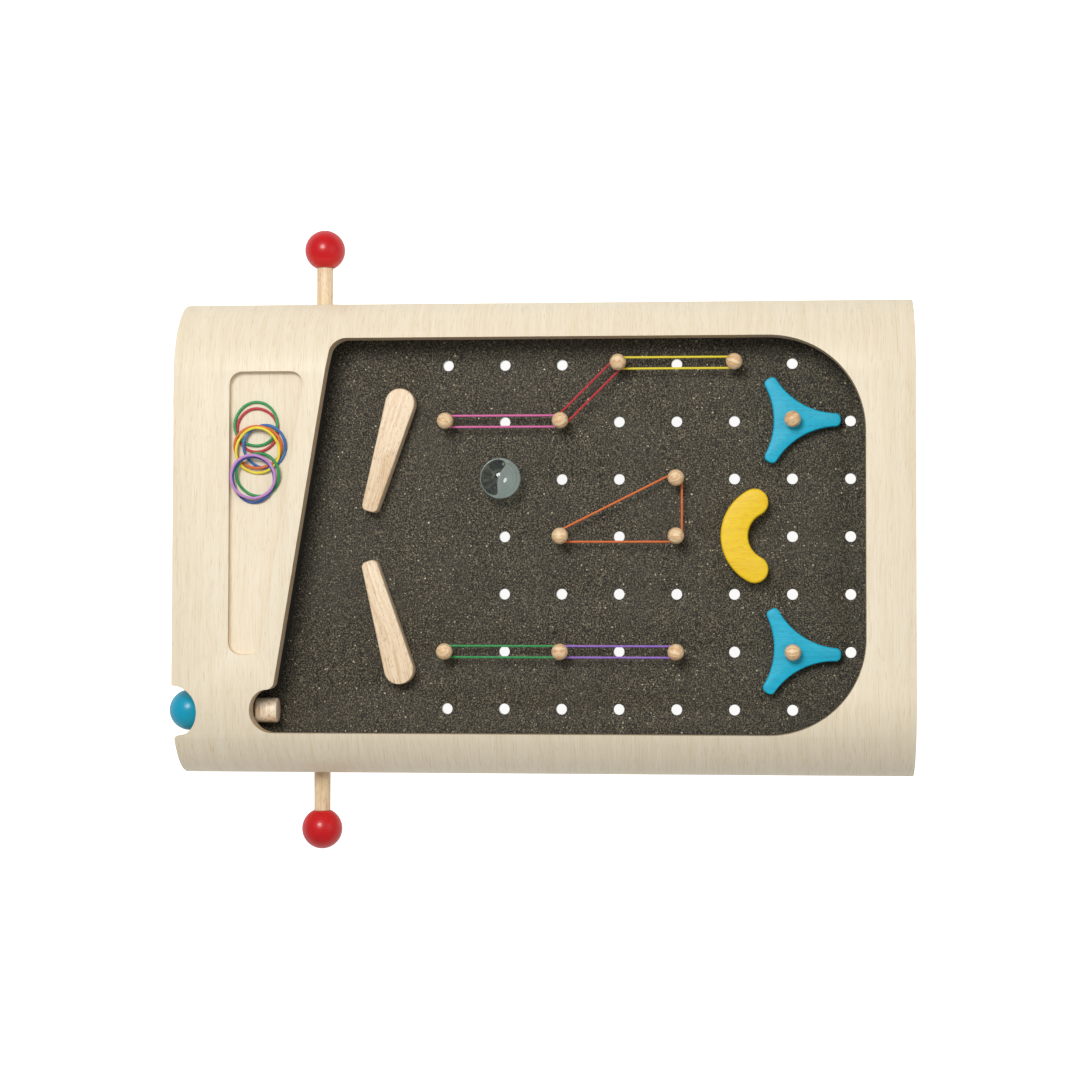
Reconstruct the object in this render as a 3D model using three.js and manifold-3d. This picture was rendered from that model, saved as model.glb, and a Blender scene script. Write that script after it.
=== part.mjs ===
// A wooden tabletop pinball game. A bent plywood cover stands on the table like an upturned trough, and a
// perforated playfield slopes inside it. Pegs, stars and a bean plug into the playfield, rubber bands are
// stretched between the pegs, two side knobs swing the flippers and a sprung plunger shoots the marble.
//
// Millimetres, +Z up. +X is the player's right and +Y runs away from the player. The origin is on the
// table, at the centre of the whole game's outline.
// Everything on the sloping deck is modelled in deck coordinates: u across, v up the slope and w square
// to the playfield, with w = 0 on its upper face and v = 0 in the middle of its grid of holes.

import * as THREE from 'three';
import { mergeVertices } from 'three/addons/utils/BufferGeometryUtils.js';
import Module from 'manifold-3d';

const wasm = await Module();
wasm.setup();

// ---------------------------------------------------------------- driving dimensions

const GAP = 0.3; // between pieces that touch, are glued or slide
const SLOPE = THREE.MathUtils.degToRad(5); // of the playfield, which is the same as the cover's top

const COVER = { halfWidth: 145, front: -286, rear: 160, top: 34, thickness: 12, bend: 50, baseDrop: 62 };
const WINDOW = { halfWidth: 119.5, far: 130.6, farRadius: 58, cornerRadius: 10, nubRadius: 2.2 };
const SLANT = { middle: -209.2, slope: -0.1605 }; // the window's near edge
const POCKET = { left: 93.1, near: -238.6, radius: 13.1 }; // where the marble waits for the plunger
const NOTCH = { radius: 15, mouthRadius: 3 };
const TRAY = { left: -98.9, right: 72.3, near: -251.5, slantGap: 12, radius: 8, depth: 5 };

const BOARD = { halfWidth: 133.7, near: -256.6, far: 144.4, thickness: 5.5 };
const PITCH = 35; // of the grid of holes
const HOLE_ROWS = [[0, 6], [0, 7], [1, 7], [1, 7], [1, 7], [0, 7], [0, 6]]; // first and last hole of each
const HOLE_RADIUS = 3.3;
const PANEL = { front: -256.9, rear: 144.7, thickness: 10, tableGap: 1.5 };
const GUIDE = { setBack: 1.5, thickness: 7 };
const RIM = { setBack: 1.5, thickness: 6, legEnd: 40 };

const KNOB_RADIUS = 12.5;
const MARBLE = { radius: 12.5, column: 1, row: 2, height: 12.4 };

const PLUNGER = { u: 106, w: 9.5, knob: -279.7, face: -225, headLength: 13.4, headRadius: 7.5, rodRadius: 3 };
const PLUNGER_SPRING = { radius: 4.4, wire: 0.45, turns: 6, seatDepth: 6, seatRadius: 6 };

const FLIPPER = { u: 81, v: -150.6, aimU: 21, aimV: -167.8, length: 65.1, bottom: 1, top: 13.5 };
const BLADE = { wide: 9, corner: 3.4, cornerOffset: 1.6 }; // round hub and blunt tip
const SHAFT = { radius: 4, top: 8.5, bottom: -16 };
const CRANK = { hub: 9, reach: 56, end: 7, top: -8, bottom: -15 };
const PUSH = { v: -203, w: -22, radius: 5, outer: 176, inner: 72, knob: 180 };
const LINK_PIN = { radius: 2, bottom: -25, top: -8.5, slotPlay: 0.7 };
const COLLAR = { radius: 8.5, outer: 132.5, length: 5 };
const ROD_GUIDE = { outer: 99, length: 7, halfWidth: 10, bottom: -30.5 };
const RETURN_SPRING = { radius: 6.3, wire: 0.45, turns: 8 };

const PEG = { plug: 3.1, neck: 2.6, shoulder: -1, bottom: -8.2, head: 5, headHeight: 15 };
const PEG_PLACES = [
  [0, 1], [2, 1], [3, 0], [5, 0], [4, 2], [2, 3], [4, 3], [0, 5], [2, 5], [4, 5], // these hold the bands
  [6, 1], [6, 5], // these hold the stars
];
const BAND = { wire: 1.3, low: 8.8, high: 10.2 };
const BANDS = [
  ['pink', [[0, 1], [2, 1]], BAND.low, 0xd86a9c],
  ['red', [[2, 1], [3, 0]], BAND.high, 0xb81f2a],
  ['yellow', [[3, 0], [5, 0]], BAND.low, 0xe6d32c],
  ['orange', [[2, 3], [4, 3], [4, 2]], BAND.low, 0xc8622a],
  ['green', [[0, 5], [2, 5]], BAND.low, 0x2f9a55],
  ['purple', [[2, 5], [4, 5]], BAND.high, 0x8a5fb0],
];

const STAR = { reach: 29, tip: 4, waist: 11.3, tipRadius: 3.2, bottom: 0.6, top: 8.6, bore: 3.4 };
const STARS = [['left', -70, 0], ['right', 70, -3]]; // name, place across, turn in degrees
const BEAN = { v: 52.5, bend: 22.8, reach: 62.4, halfWidth: 8.25, bottom: 0.6, top: 12.6 };
const BEAN_DOWEL = { radius: 3.1, bottom: -5.2, top: 8.3 };

const RING = { wire: 1.7, lift: 0.2, clearance: 0.35, springBack: 0.016, steps: 36 };
const RINGS = [ // lowest first: name, place across and up the slope, half its width across and up the slope
  ['red', -63.5, -235, 13.3, 12.6, 0xc0202c],
  ['green_1', -67.2, -235.6, 13.4, 13.2, 0x2f9a55],
  ['blue', -53.6, -230.1, 13, 12.8, 0x2f6fae],
  ['orange', -53.2, -234.2, 12.7, 14.4, 0xd8692a],
  ['yellow', -51, -234.2, 13.7, 13.2, 0xe6d32c],
  ['green_2', -36.5, -234, 13, 13.1, 0x2f9a55],
  ['dark_blue', -33.6, -236.6, 13.8, 12.6, 0x24509a],
  ['pink', -35.1, -236.6, 13, 13.3, 0xe08bbb],
];

const FINISH = { // colour, roughness, metalness
  plywood: [0xf0e6d0, 0.5, 0],
  board: [0x46423a, 0.85, 0],
  rail: [0xe2cfa8, 0.6, 0],
  dark: [0x2c2a26, 0.85, 0],
  maple: [0xebcda5, 0.5, 0],
  dowel: [0xdfc091, 0.55, 0],
  steel: [0xa8adb2, 0.3, 1],
  red: [0xcc1c24, 0.3, 0],
  blue: [0x1298be, 0.3, 0],
  cyan: [0x2bb7d8, 0.45, 0],
  yellow: [0xf7d62e, 0.45, 0],
  glass: [0xdfeeea, 0.05, 0],
};

// ---------------------------------------------------------------- solids

function toSolid(geometry) {
  const bare = geometry.clone();
  bare.deleteAttribute('normal');
  bare.deleteAttribute('uv');
  const merged = mergeVertices(bare, 1e-3);
  return new wasm.Manifold(new wasm.Mesh({
    numProp: 3,
    vertProperties: new Float32Array(merged.attributes.position.array),
    triVerts: new Uint32Array(merged.index.array),
  }));
}

function toGeometry(solid) {
  const mesh = solid.getMesh();
  const geometry = new THREE.BufferGeometry();
  geometry.setAttribute('position', new THREE.BufferAttribute(new Float32Array(mesh.vertProperties), 3));
  geometry.setIndex(new THREE.BufferAttribute(new Uint32Array(mesh.triVerts), 1));
  return geometry;
}

const cut = (geometry, ...tools) => toGeometry(
  tools.reduce((solid, tool) => solid.subtract(toSolid(tool)), toSolid(geometry)),
);

const keepInside = (geometry, tool) => toGeometry(toSolid(geometry).intersect(toSolid(tool)));

// ---------------------------------------------------------------- outlines

// A closed outline through corners [x, y, radius], with an arc at each corner that has a radius.
function rounded(corners, degreesPerStep = 9) {
  const points = [];
  corners.forEach(([x, y, radius = 0], k) => {
    const corner = new THREE.Vector2(x, y);
    const before = new THREE.Vector2(...corners.at(k - 1).slice(0, 2)).sub(corner).normalize();
    const after = new THREE.Vector2(...corners[(k + 1) % corners.length].slice(0, 2)).sub(corner).normalize();
    if (radius === 0) {
      points.push(corner);
      return;
    }
    const half = Math.acos(before.dot(after)) / 2;
    const middle = before.clone().add(after).normalize();
    const centre = corner.clone().addScaledVector(middle, radius / Math.sin(half));
    const turn = Math.PI - 2 * half;
    const side = Math.sign(before.cross(after));
    const steps = Math.max(2, Math.ceil(THREE.MathUtils.radToDeg(turn) / degreesPerStep));
    for (let i = 0; i <= steps; i += 1) {
      const angle = middle.angle() + Math.PI + side * turn * (0.5 - i / steps);
      points.push(new THREE.Vector2(Math.cos(angle), Math.sin(angle)).multiplyScalar(radius).add(centre));
    }
  });
  return points;
}

// The tight outline around circles [x, y, radius], listed anticlockwise: a belt around pulleys.
function beltOutline(circles, stepsPerTurn = 20) {
  const normals = circles.map(([x, y, radius], k) => {
    const [nextX, nextY, nextRadius] = circles[(k + 1) % circles.length];
    const along = Math.atan2(nextY - y, nextX - x);
    const lean = Math.asin((radius - nextRadius) / Math.hypot(nextX - x, nextY - y));
    return along - Math.PI / 2 + lean;
  });
  return circles.flatMap(([x, y, radius], k) => {
    const start = normals.at(k - 1);
    const turn = THREE.MathUtils.euclideanModulo(normals[k] - start, 2 * Math.PI);
    const steps = Math.max(2, Math.round((turn / (2 * Math.PI)) * stepsPerTurn));
    return Array.from({ length: steps + 1 }, (_, i) => {
      const angle = start + (turn * i) / steps;
      return new THREE.Vector2(x + radius * Math.cos(angle), y + radius * Math.sin(angle));
    });
  });
}

function circleOutline(x, y, radius, steps = 12) {
  return Array.from({ length: steps }, (_, i) => {
    const angle = (2 * Math.PI * (i + 0.5)) / steps;
    return new THREE.Vector2(x + radius * Math.cos(angle), y + radius * Math.sin(angle));
  });
}

// ---------------------------------------------------------------- simple forms in deck coordinates

// An outline in u and v, with holes, standing from one height to another.
function slab(outline, bottom, top, holes = []) {
  const shape = new THREE.Shape(outline);
  shape.holes = holes.map((hole) => new THREE.Path(hole));
  const geometry = new THREE.ExtrudeGeometry(shape, { depth: top - bottom, bevelEnabled: false });
  return geometry.translate(0, 0, bottom);
}

// An outline in u and w, drawn out up the slope.
function trough(outline, near, far) {
  const geometry = new THREE.ExtrudeGeometry(new THREE.Shape(outline), {
    depth: far - near,
    bevelEnabled: false,
  });
  return geometry.rotateX(Math.PI / 2).translate(0, far, 0);
}

function block(sizeU, sizeV, sizeW, u, v, w) {
  return new THREE.BoxGeometry(sizeU, sizeV, sizeW).translate(u, v, w);
}

// Round bars along the three deck directions, between two places.
function barAcross(radius, from, to, v, w, steps = 12) {
  const bar = new THREE.CylinderGeometry(radius, radius, Math.abs(to - from), steps);
  return bar.rotateZ(Math.PI / 2).translate((from + to) / 2, v, w);
}

function barUpSlope(radius, from, to, u, w, steps = 12) {
  return new THREE.CylinderGeometry(radius, radius, to - from, steps).translate(u, (from + to) / 2, w);
}

function barUpright(radius, from, to, u, v, steps = 12) {
  const bar = new THREE.CylinderGeometry(radius, radius, to - from, steps);
  return bar.rotateX(Math.PI / 2).translate(u, v, (from + to) / 2);
}

function ball(radius) {
  return new THREE.SphereGeometry(radius, 16, 10);
}

// A coil around the Y axis, from y = 0 to y = length.
function coil(radius, wire, turns, length) {
  class Helix extends THREE.Curve {
    getPoint(t) {
      const angle = 2 * Math.PI * turns * t;
      return new THREE.Vector3(radius * Math.cos(angle), length * t, radius * Math.sin(angle));
    }
  }
  const section = new THREE.Shape(circleOutline(0, 0, wire, 5));
  return new THREE.ExtrudeGeometry(section, { steps: turns * 9, extrudePath: new Helix() });
}

const holeU = (row) => (row - 3) * PITCH;
const holeV = (column) => (column - 3.5) * PITCH;
const slantV = (u) => SLANT.middle + SLANT.slope * u;

// ---------------------------------------------------------------- the deck's place on the table

const deck = new THREE.Group();
deck.rotation.x = SLOPE;
// The cover's lowest front height sets the deck's height, and the plunger's knob is the nearest point.
const deckHeight = COVER.baseDrop - COVER.front * Math.sin(SLOPE) - COVER.top * Math.cos(SLOPE);
const nearest = PLUNGER.knob * Math.cos(SLOPE) - PLUNGER.w * Math.sin(SLOPE) - KNOB_RADIUS;
const rearFoot = -(deckHeight + COVER.rear * Math.sin(SLOPE)) / Math.cos(SLOPE);
const furthest = COVER.rear * Math.cos(SLOPE) - rearFoot * Math.sin(SLOPE);
deck.position.set(0, -(nearest + furthest) / 2, deckHeight);
deck.updateMatrixWorld(true);

// Everything below a height above the table, in deck coordinates.
function belowTable(height) {
  const ground = new THREE.BoxGeometry(600, 800, 200).translate(0, 0, height - 100);
  return ground.applyMatrix4(deck.matrixWorld.clone().invert());
}

const game = new THREE.Group();
game.add(deck);

function add(name, geometry, finish, colour = FINISH[finish][0]) {
  const [, roughness, metalness] = FINISH[finish];
  const mesh = new THREE.Mesh(geometry, new THREE.MeshStandardMaterial({ color: colour, roughness, metalness }));
  mesh.name = name;
  deck.add(mesh);
  return mesh;
}

// ---------------------------------------------------------------- cover

const FOOT = COVER.top - 120; // well below the table at every place on the slope

function coverSection(inset) {
  const side = COVER.halfWidth - inset;
  const top = COVER.top - inset;
  const radius = COVER.bend - inset;
  return [[side, FOOT], [side, top, radius], [-side, top, radius], [-side, FOOT]];
}

function windowOutline() {
  const { halfWidth, far, farRadius, cornerRadius, nubRadius } = WINDOW;
  return rounded([
    [halfWidth, POCKET.near, POCKET.radius],
    [halfWidth, far, farRadius],
    [-halfWidth, far, farRadius],
    [-halfWidth, slantV(-halfWidth), cornerRadius],
    [POCKET.left, slantV(POCKET.left), nubRadius],
    [POCKET.left, POCKET.near, POCKET.radius],
  ]);
}

function trayOutline() {
  const { left, right, near, slantGap, radius } = TRAY;
  return rounded([
    [left, near, radius],
    [right, near, radius],
    [right, slantV(right) - slantGap, radius],
    [left, slantV(left) - slantGap, radius],
  ], 15);
}

// A half-round notch that lets the fingers reach the plunger's knob, opening at the front edge.
function notchOutline() {
  const { radius, mouthRadius } = NOTCH;
  const edge = COVER.front;
  return rounded([
    [PLUNGER.u + radius + mouthRadius + 3, edge - 6],
    [PLUNGER.u + radius + mouthRadius + 3, edge],
    [PLUNGER.u + radius, edge, mouthRadius],
    [PLUNGER.u + radius, edge + radius, radius - 0.1],
    [PLUNGER.u - radius, edge + radius, radius - 0.1],
    [PLUNGER.u - radius, edge, mouthRadius],
    [PLUNGER.u - radius - mouthRadius - 3, edge],
    [PLUNGER.u - radius - mouthRadius - 3, edge - 6],
  ], 20);
}

function coverShell() {
  const outer = trough(rounded(coverSection(0), 6), COVER.front, COVER.rear);
  const inner = trough(rounded(coverSection(COVER.thickness), 6), COVER.front - 5, COVER.rear + 5);
  const above = COVER.top + 5;
  const grooveHeight = BOARD.thickness + 2 * GAP;
  const grooveLength = COVER.rear - BOARD.near + 10;
  const groove = block(
    2 * (BOARD.halfWidth + GAP),
    grooveLength,
    grooveHeight,
    0,
    BOARD.near - GAP + grooveLength / 2,
    GAP - grooveHeight / 2,
  );
  const rodHoles = barAcross(PUSH.radius + GAP + 0.1, -160, 160, PUSH.v, PUSH.w, 16);
  return cut(
    outer,
    inner,
    slab(windowOutline(), -20, above),
    slab(trayOutline(), COVER.top - TRAY.depth, above),
    slab(notchOutline(), 0, above),
    groove,
    rodHoles,
    belowTable(0),
  );
}

add('cover', coverShell(), 'plywood');

// ---------------------------------------------------------------- playfield, end panels and guides

function playfield() {
  const { halfWidth, near, far, thickness } = BOARD;
  const outline = [[-halfWidth, near], [halfWidth, near], [halfWidth, far], [-halfWidth, far]];
  const holes = HOLE_ROWS.flatMap(([first, last], row) => {
    const columns = Array.from({ length: last - first + 1 }, (_, k) => first + k);
    return columns.map((column) => circleOutline(holeU(row), holeV(column), HOLE_RADIUS, 10));
  });
  for (const side of [-1, 1]) {
    holes.push(circleOutline(side * FLIPPER.u, FLIPPER.v, SHAFT.radius + 0.5, 12));
  }
  return slab(outline.map(([u, v]) => new THREE.Vector2(u, v)), -thickness, 0, holes);
}

// The space under the cover, which the panels and guides fill from side to side.
function underCover(near, far) {
  return trough(rounded(coverSection(COVER.thickness + GAP), 6), near, far);
}

function frontPanel() {
  const { front, thickness, tableGap } = PANEL;
  const seatStart = front - PLUNGER_SPRING.seatDepth;
  return cut(
    underCover(front - thickness, front),
    barUpSlope(PLUNGER.rodRadius + GAP, front - thickness - 5, front, PLUNGER.u, PLUNGER.w),
    barUpSlope(PLUNGER_SPRING.seatRadius, seatStart, front + 5, PLUNGER.u, PLUNGER.w),
    belowTable(tableGap),
  );
}

function rearPanel() {
  return cut(underCover(PANEL.rear, PANEL.rear + PANEL.thickness), belowTable(PANEL.tableGap));
}

// Under the window's near edge: it steers a drained marble to the plunger and walls off the plunger's lane.
function marbleGuide() {
  const { setBack, thickness } = GUIDE;
  const left = -BOARD.halfWidth;
  const lane = POCKET.left - setBack;
  const outline = [
    [left, slantV(left) - setBack],
    [lane, slantV(lane) - setBack],
    [lane, BOARD.near],
    [lane - thickness, BOARD.near],
    [lane - thickness, slantV(lane - thickness) - setBack - thickness],
    [left, slantV(left) - setBack - thickness],
  ];
  const wall = slab(outline.map(([u, v]) => new THREE.Vector2(u, v)), GAP, COVER.top);
  return keepInside(wall, underCover(COVER.front, COVER.rear));
}

// Under the window's far edge: a bent wall that turns the marble round the two far corners.
function farRim() {
  const inner = WINDOW.halfWidth + RIM.setBack;
  const outer = inner + RIM.thickness;
  const innerFar = WINDOW.far + RIM.setBack;
  const outerFar = innerFar + RIM.thickness;
  const innerRadius = WINDOW.farRadius + RIM.setBack;
  const outerRadius = innerRadius + RIM.thickness;
  const wall = slab(rounded([
    [outer, RIM.legEnd],
    [outer, outerFar, outerRadius],
    [-outer, outerFar, outerRadius],
    [-outer, RIM.legEnd],
    [-inner, RIM.legEnd],
    [-inner, innerFar, innerRadius],
    [inner, innerFar, innerRadius],
    [inner, RIM.legEnd],
  ]), GAP, COVER.top);
  return keepInside(wall, underCover(COVER.front, COVER.rear));
}

add('playfield', playfield(), 'board');
add('front_panel', frontPanel(), 'rail');
add('rear_panel', rearPanel(), 'rail');
add('marble_guide', marbleGuide(), 'dark');
add('far_rim', farRim(), 'dark');

// ---------------------------------------------------------------- plunger

function plunger() {
  const { u, w, knob, face, headLength, headRadius, rodRadius } = PLUNGER;
  const rodStart = knob + 4;
  const rodEnd = face - 6;
  const headStart = face - headLength;
  const bore = rodRadius + GAP;
  const knobSolid = ball(KNOB_RADIUS).translate(u, knob, w);
  const knobBore = barUpSlope(bore, rodStart - GAP, knob + KNOB_RADIUS + 5, u, w);
  add('plunger_knob', cut(knobSolid, knobBore), 'blue');
  add('plunger_rod', barUpSlope(rodRadius, rodStart, rodEnd, u, w), 'dowel');
  const headBore = barUpSlope(bore, headStart - 5, rodEnd + GAP, u, w);
  add('plunger_head', cut(barUpSlope(headRadius, headStart, face, u, w, 20), headBore), 'maple');
  const seat = PANEL.front - PLUNGER_SPRING.seatDepth;
  const clearance = PLUNGER_SPRING.wire + GAP;
  const length = headStart - seat - 2 * clearance;
  const spring = coil(PLUNGER_SPRING.radius, PLUNGER_SPRING.wire, PLUNGER_SPRING.turns, length);
  add('plunger_spring', spring.translate(u, seat + clearance, w), 'steel');
}

plunger();

// ---------------------------------------------------------------- flippers and their push rods

function flipperSet(name, side) {
  const pivot = [side * FLIPPER.u, FLIPPER.v];
  const aim = new THREE.Vector2(side * FLIPPER.aimU - pivot[0], FLIPPER.aimV - pivot[1]).normalize();
  const tipCorner = (offset) => [ // on one side of the blade's middle line
    pivot[0] + aim.x * FLIPPER.length - aim.y * offset,
    pivot[1] + aim.y * FLIPPER.length + aim.x * offset,
    BLADE.corner,
  ];
  const bladeOutline = beltOutline([
    [...pivot, BLADE.wide],
    tipCorner(-BLADE.cornerOffset),
    tipCorner(BLADE.cornerOffset),
  ]);
  const blade = slab(bladeOutline, FLIPPER.bottom, FLIPPER.top);
  const socket = barUpright(SHAFT.radius + GAP, FLIPPER.bottom - 5, SHAFT.top + GAP, ...pivot);
  add(`${name}_flipper`, cut(blade, socket), 'maple');
  add(`${name}_flipper_shaft`, barUpright(SHAFT.radius, SHAFT.bottom, SHAFT.top, ...pivot), 'dowel');

  const armLength = FLIPPER.v - PUSH.v;
  const slotRadius = LINK_PIN.radius + LINK_PIN.slotPlay;
  const crankOutline = beltOutline([
    [...pivot, CRANK.hub],
    [pivot[0], FLIPPER.v - CRANK.reach, CRANK.end],
  ]);
  const slot = beltOutline([
    [pivot[0], FLIPPER.v - armLength, slotRadius],
    [pivot[0], FLIPPER.v - armLength - 3.8, slotRadius],
  ], 16);
  const shaftHole = circleOutline(...pivot, SHAFT.radius + GAP, 14);
  add(`${name}_crank`, slab(crankOutline, CRANK.bottom, CRANK.top, [shaftHole, slot]), 'dowel');

  const pinU = side * FLIPPER.u;
  const rod = barAcross(PUSH.radius, side * PUSH.inner, side * PUSH.outer, PUSH.v, PUSH.w);
  const pinHole = barUpright(LINK_PIN.radius + GAP, LINK_PIN.bottom - GAP, PUSH.w + 8, pinU, PUSH.v);
  add(`${name}_push_rod`, cut(rod, pinHole), 'dowel');
  add(`${name}_link_pin`, barUpright(LINK_PIN.radius, LINK_PIN.bottom, LINK_PIN.top, pinU, PUSH.v), 'steel');

  const knobSolid = ball(KNOB_RADIUS).rotateZ(Math.PI / 2).translate(side * PUSH.knob, PUSH.v, PUSH.w);
  const knobBore = barAcross(PUSH.radius + GAP, side * 160, side * (PUSH.outer + GAP), PUSH.v, PUSH.w);
  add(`${name}_push_knob`, cut(knobSolid, knobBore), 'red');

  const collarInner = COLLAR.outer - COLLAR.length;
  const collar = barAcross(COLLAR.radius, side * collarInner, side * COLLAR.outer, PUSH.v, PUSH.w, 16);
  const throughHole = barAcross(PUSH.radius + GAP, side * 60, side * 150, PUSH.v, PUSH.w);
  add(`${name}_stop_collar`, cut(collar, throughHole), 'maple');

  const guideTop = -BOARD.thickness - GAP;
  const guide = block(
    ROD_GUIDE.length,
    2 * ROD_GUIDE.halfWidth,
    guideTop - ROD_GUIDE.bottom,
    side * (ROD_GUIDE.outer - ROD_GUIDE.length / 2),
    PUSH.v,
    (guideTop + ROD_GUIDE.bottom) / 2,
  );
  add(`${name}_rod_guide`, cut(guide, throughHole), 'rail');

  const clearance = RETURN_SPRING.wire + GAP;
  const length = collarInner - ROD_GUIDE.outer - 2 * clearance;
  const spring = coil(RETURN_SPRING.radius, RETURN_SPRING.wire, RETURN_SPRING.turns, length);
  spring.rotateZ(-side * Math.PI / 2).translate(side * (ROD_GUIDE.outer + clearance), PUSH.v, PUSH.w);
  add(`${name}_return_spring`, spring, 'steel');
}

flipperSet('left', -1);
flipperSet('right', 1);

// ---------------------------------------------------------------- pegs and what they hold

// A turned peg: a plug for the hole, a slimmer neck for the bands and a round head.
function peg() {
  const { plug, neck, shoulder, bottom, head, headHeight } = PEG;
  const profile = [[0, bottom], [neck, bottom], [plug, bottom + 0.6], [plug, shoulder - 0.5], [neck, shoulder]];
  const headStart = -Math.acos(neck / head);
  for (let k = 0; k <= 5; k += 1) {
    const angle = headStart + (k / 5) * (Math.PI / 2 - headStart);
    profile.push([k === 5 ? 0 : head * Math.cos(angle), headHeight + head * Math.sin(angle)]);
  }
  const turned = new THREE.LatheGeometry(profile.map(([x, y]) => new THREE.Vector2(x, y)), 10);
  return turned.rotateX(Math.PI / 2);
}

PEG_PLACES.forEach(([column, row], k) => {
  const name = `peg_${String(k + 1).padStart(2, '0')}`;
  add(name, peg().translate(holeU(row), holeV(column), 0), 'maple');
});

// A band stretched around the necks of its pegs.
function stretchedBand(places, height) {
  const inside = PEG.neck + GAP;
  const loop = (radius) => beltOutline(places.map(([column, row]) => [holeU(row), holeV(column), radius]), 12);
  return slab(loop(inside + BAND.wire), height - BAND.wire / 2, height + BAND.wire / 2, [loop(inside)]);
}

for (const [name, places, height, colour] of BANDS) {
  const anticlockwise = THREE.ShapeUtils.area(
    places.map(([column, row]) => new THREE.Vector2(holeU(row), holeV(column))),
  ) >= 0;
  add(`band_${name}`, stretchedBand(anticlockwise ? places : [...places].reverse(), height), 'red', colour);
}

// A three-armed star: blunt tips joined by three hollow arcs.
function star() {
  const { reach, tip, waist, tipRadius, bottom, top, bore } = STAR;
  const shoulder = new THREE.Vector2(reach - tipRadius, tip);
  const bisector = new THREE.Vector2(Math.cos(Math.PI / 3), Math.sin(Math.PI / 3));
  const arcCentre = (shoulder.lengthSq() - waist ** 2) / (2 * (shoulder.dot(bisector) - waist));
  const centre = bisector.clone().multiplyScalar(arcCentre);
  const start = shoulder.clone().sub(centre);
  const sweep = 2 * (start.angle() - bisector.clone().negate().angle());
  const outline = [];
  for (let arm = 0; arm < 3; arm += 1) {
    const turn = (2 * Math.PI * arm) / 3 + Math.PI / 2;
    const place = (point) => point.clone().rotateAround(new THREE.Vector2(), turn);
    for (const [corner, angles] of [[tipRadius - tip, [-90, -60, -30, 0]], [tip - tipRadius, [0, 30, 60]]]) {
      for (const angle of angles.map(THREE.MathUtils.degToRad)) {
        const x = reach - tipRadius + tipRadius * Math.cos(angle);
        outline.push(place(new THREE.Vector2(x, corner + tipRadius * Math.sin(angle))));
      }
    }
    for (let k = 0; k < 10; k += 1) {
      const point = centre.clone().add(start.clone().rotateAround(new THREE.Vector2(), (-sweep * k) / 10));
      outline.push(place(point));
    }
  }
  return slab(outline, bottom, top, [circleOutline(0, 0, bore, 12)]);
}

for (const [name, u, turn] of STARS) {
  const geometry = star().rotateZ(THREE.MathUtils.degToRad(turn)).translate(u, holeV(6), 0);
  add(`${name}_star`, geometry, 'cyan');
}

// A bean: a thick arc with round ends, whose back faces the player.
function bean() {
  const { v, bend, reach, halfWidth, bottom, top } = BEAN;
  const centreV = v + bend;
  const arc = (radius, fromDegrees, toDegrees, u, w, steps) => Array.from({ length: steps + 1 }, (_, k) => {
    const angle = THREE.MathUtils.degToRad(fromDegrees + ((toDegrees - fromDegrees) * k) / steps);
    return new THREE.Vector2(u + radius * Math.cos(angle), w + radius * Math.sin(angle));
  });
  const end = (side) => [
    side * bend * Math.sin(THREE.MathUtils.degToRad(reach)),
    centreV - bend * Math.cos(THREE.MathUtils.degToRad(reach)),
  ];
  const outline = [
    ...arc(bend + halfWidth, -90 - reach, -90 + reach, 0, centreV, 16),
    ...arc(halfWidth, -90 + reach, 90 + reach, ...end(1), 8).slice(1),
    ...arc(bend - halfWidth, -90 + reach, -90 - reach, 0, centreV, 10).slice(1),
    ...arc(halfWidth, 90 - reach, 270 - reach, ...end(-1), 8).slice(1, -1),
  ];
  const socket = barUpright(BEAN_DOWEL.radius + GAP, bottom - 5, BEAN_DOWEL.top + GAP, 0, v);
  return cut(slab(outline, bottom, top), socket);
}

add('bean', bean(), 'yellow');
add('bean_dowel', barUpright(BEAN_DOWEL.radius, BEAN_DOWEL.bottom, BEAN_DOWEL.top, 0, BEAN.v, 10), 'dowel');

// ---------------------------------------------------------------- loose pieces

// Places around the middle of a loose band that is as wide as its two half widths say, without its height.
function ringLine([, u, v, halfU, halfV]) {
  return Array.from({ length: RING.steps }, (_, k) => {
    const angle = (2 * Math.PI * k) / RING.steps;
    return new THREE.Vector2(u + halfU * Math.cos(angle), v + halfV * Math.sin(angle));
  });
}

// Heights around each band's middle. A band rests on the tray's floor and on the bands below it, and springs
// back down on both sides of each crossing.
function pile(lines, floor) {
  const apart = RING.wire + RING.clearance;
  const heights = [];
  lines.forEach((line, order) => {
    const contact = line.map((here) => {
      let height = floor;
      for (let below = 0; below < order; below += 1) {
        lines[below].forEach((under, k) => {
          const gap = under.distanceTo(here);
          if (gap < apart) height = Math.max(height, heights[below][k] + apart);
        });
      }
      return height;
    });
    const radius = line[0].distanceTo(line[RING.steps / 2]) / 2;
    heights.push(line.map((_, k) => Math.max(...contact.map((height, j) => {
      const steps = Math.min(Math.abs(k - j), RING.steps - Math.abs(k - j));
      return height - RING.springBack * ((2 * Math.PI * radius * steps) / RING.steps) ** 2;
    }))));
  });
  return heights;
}

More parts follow.
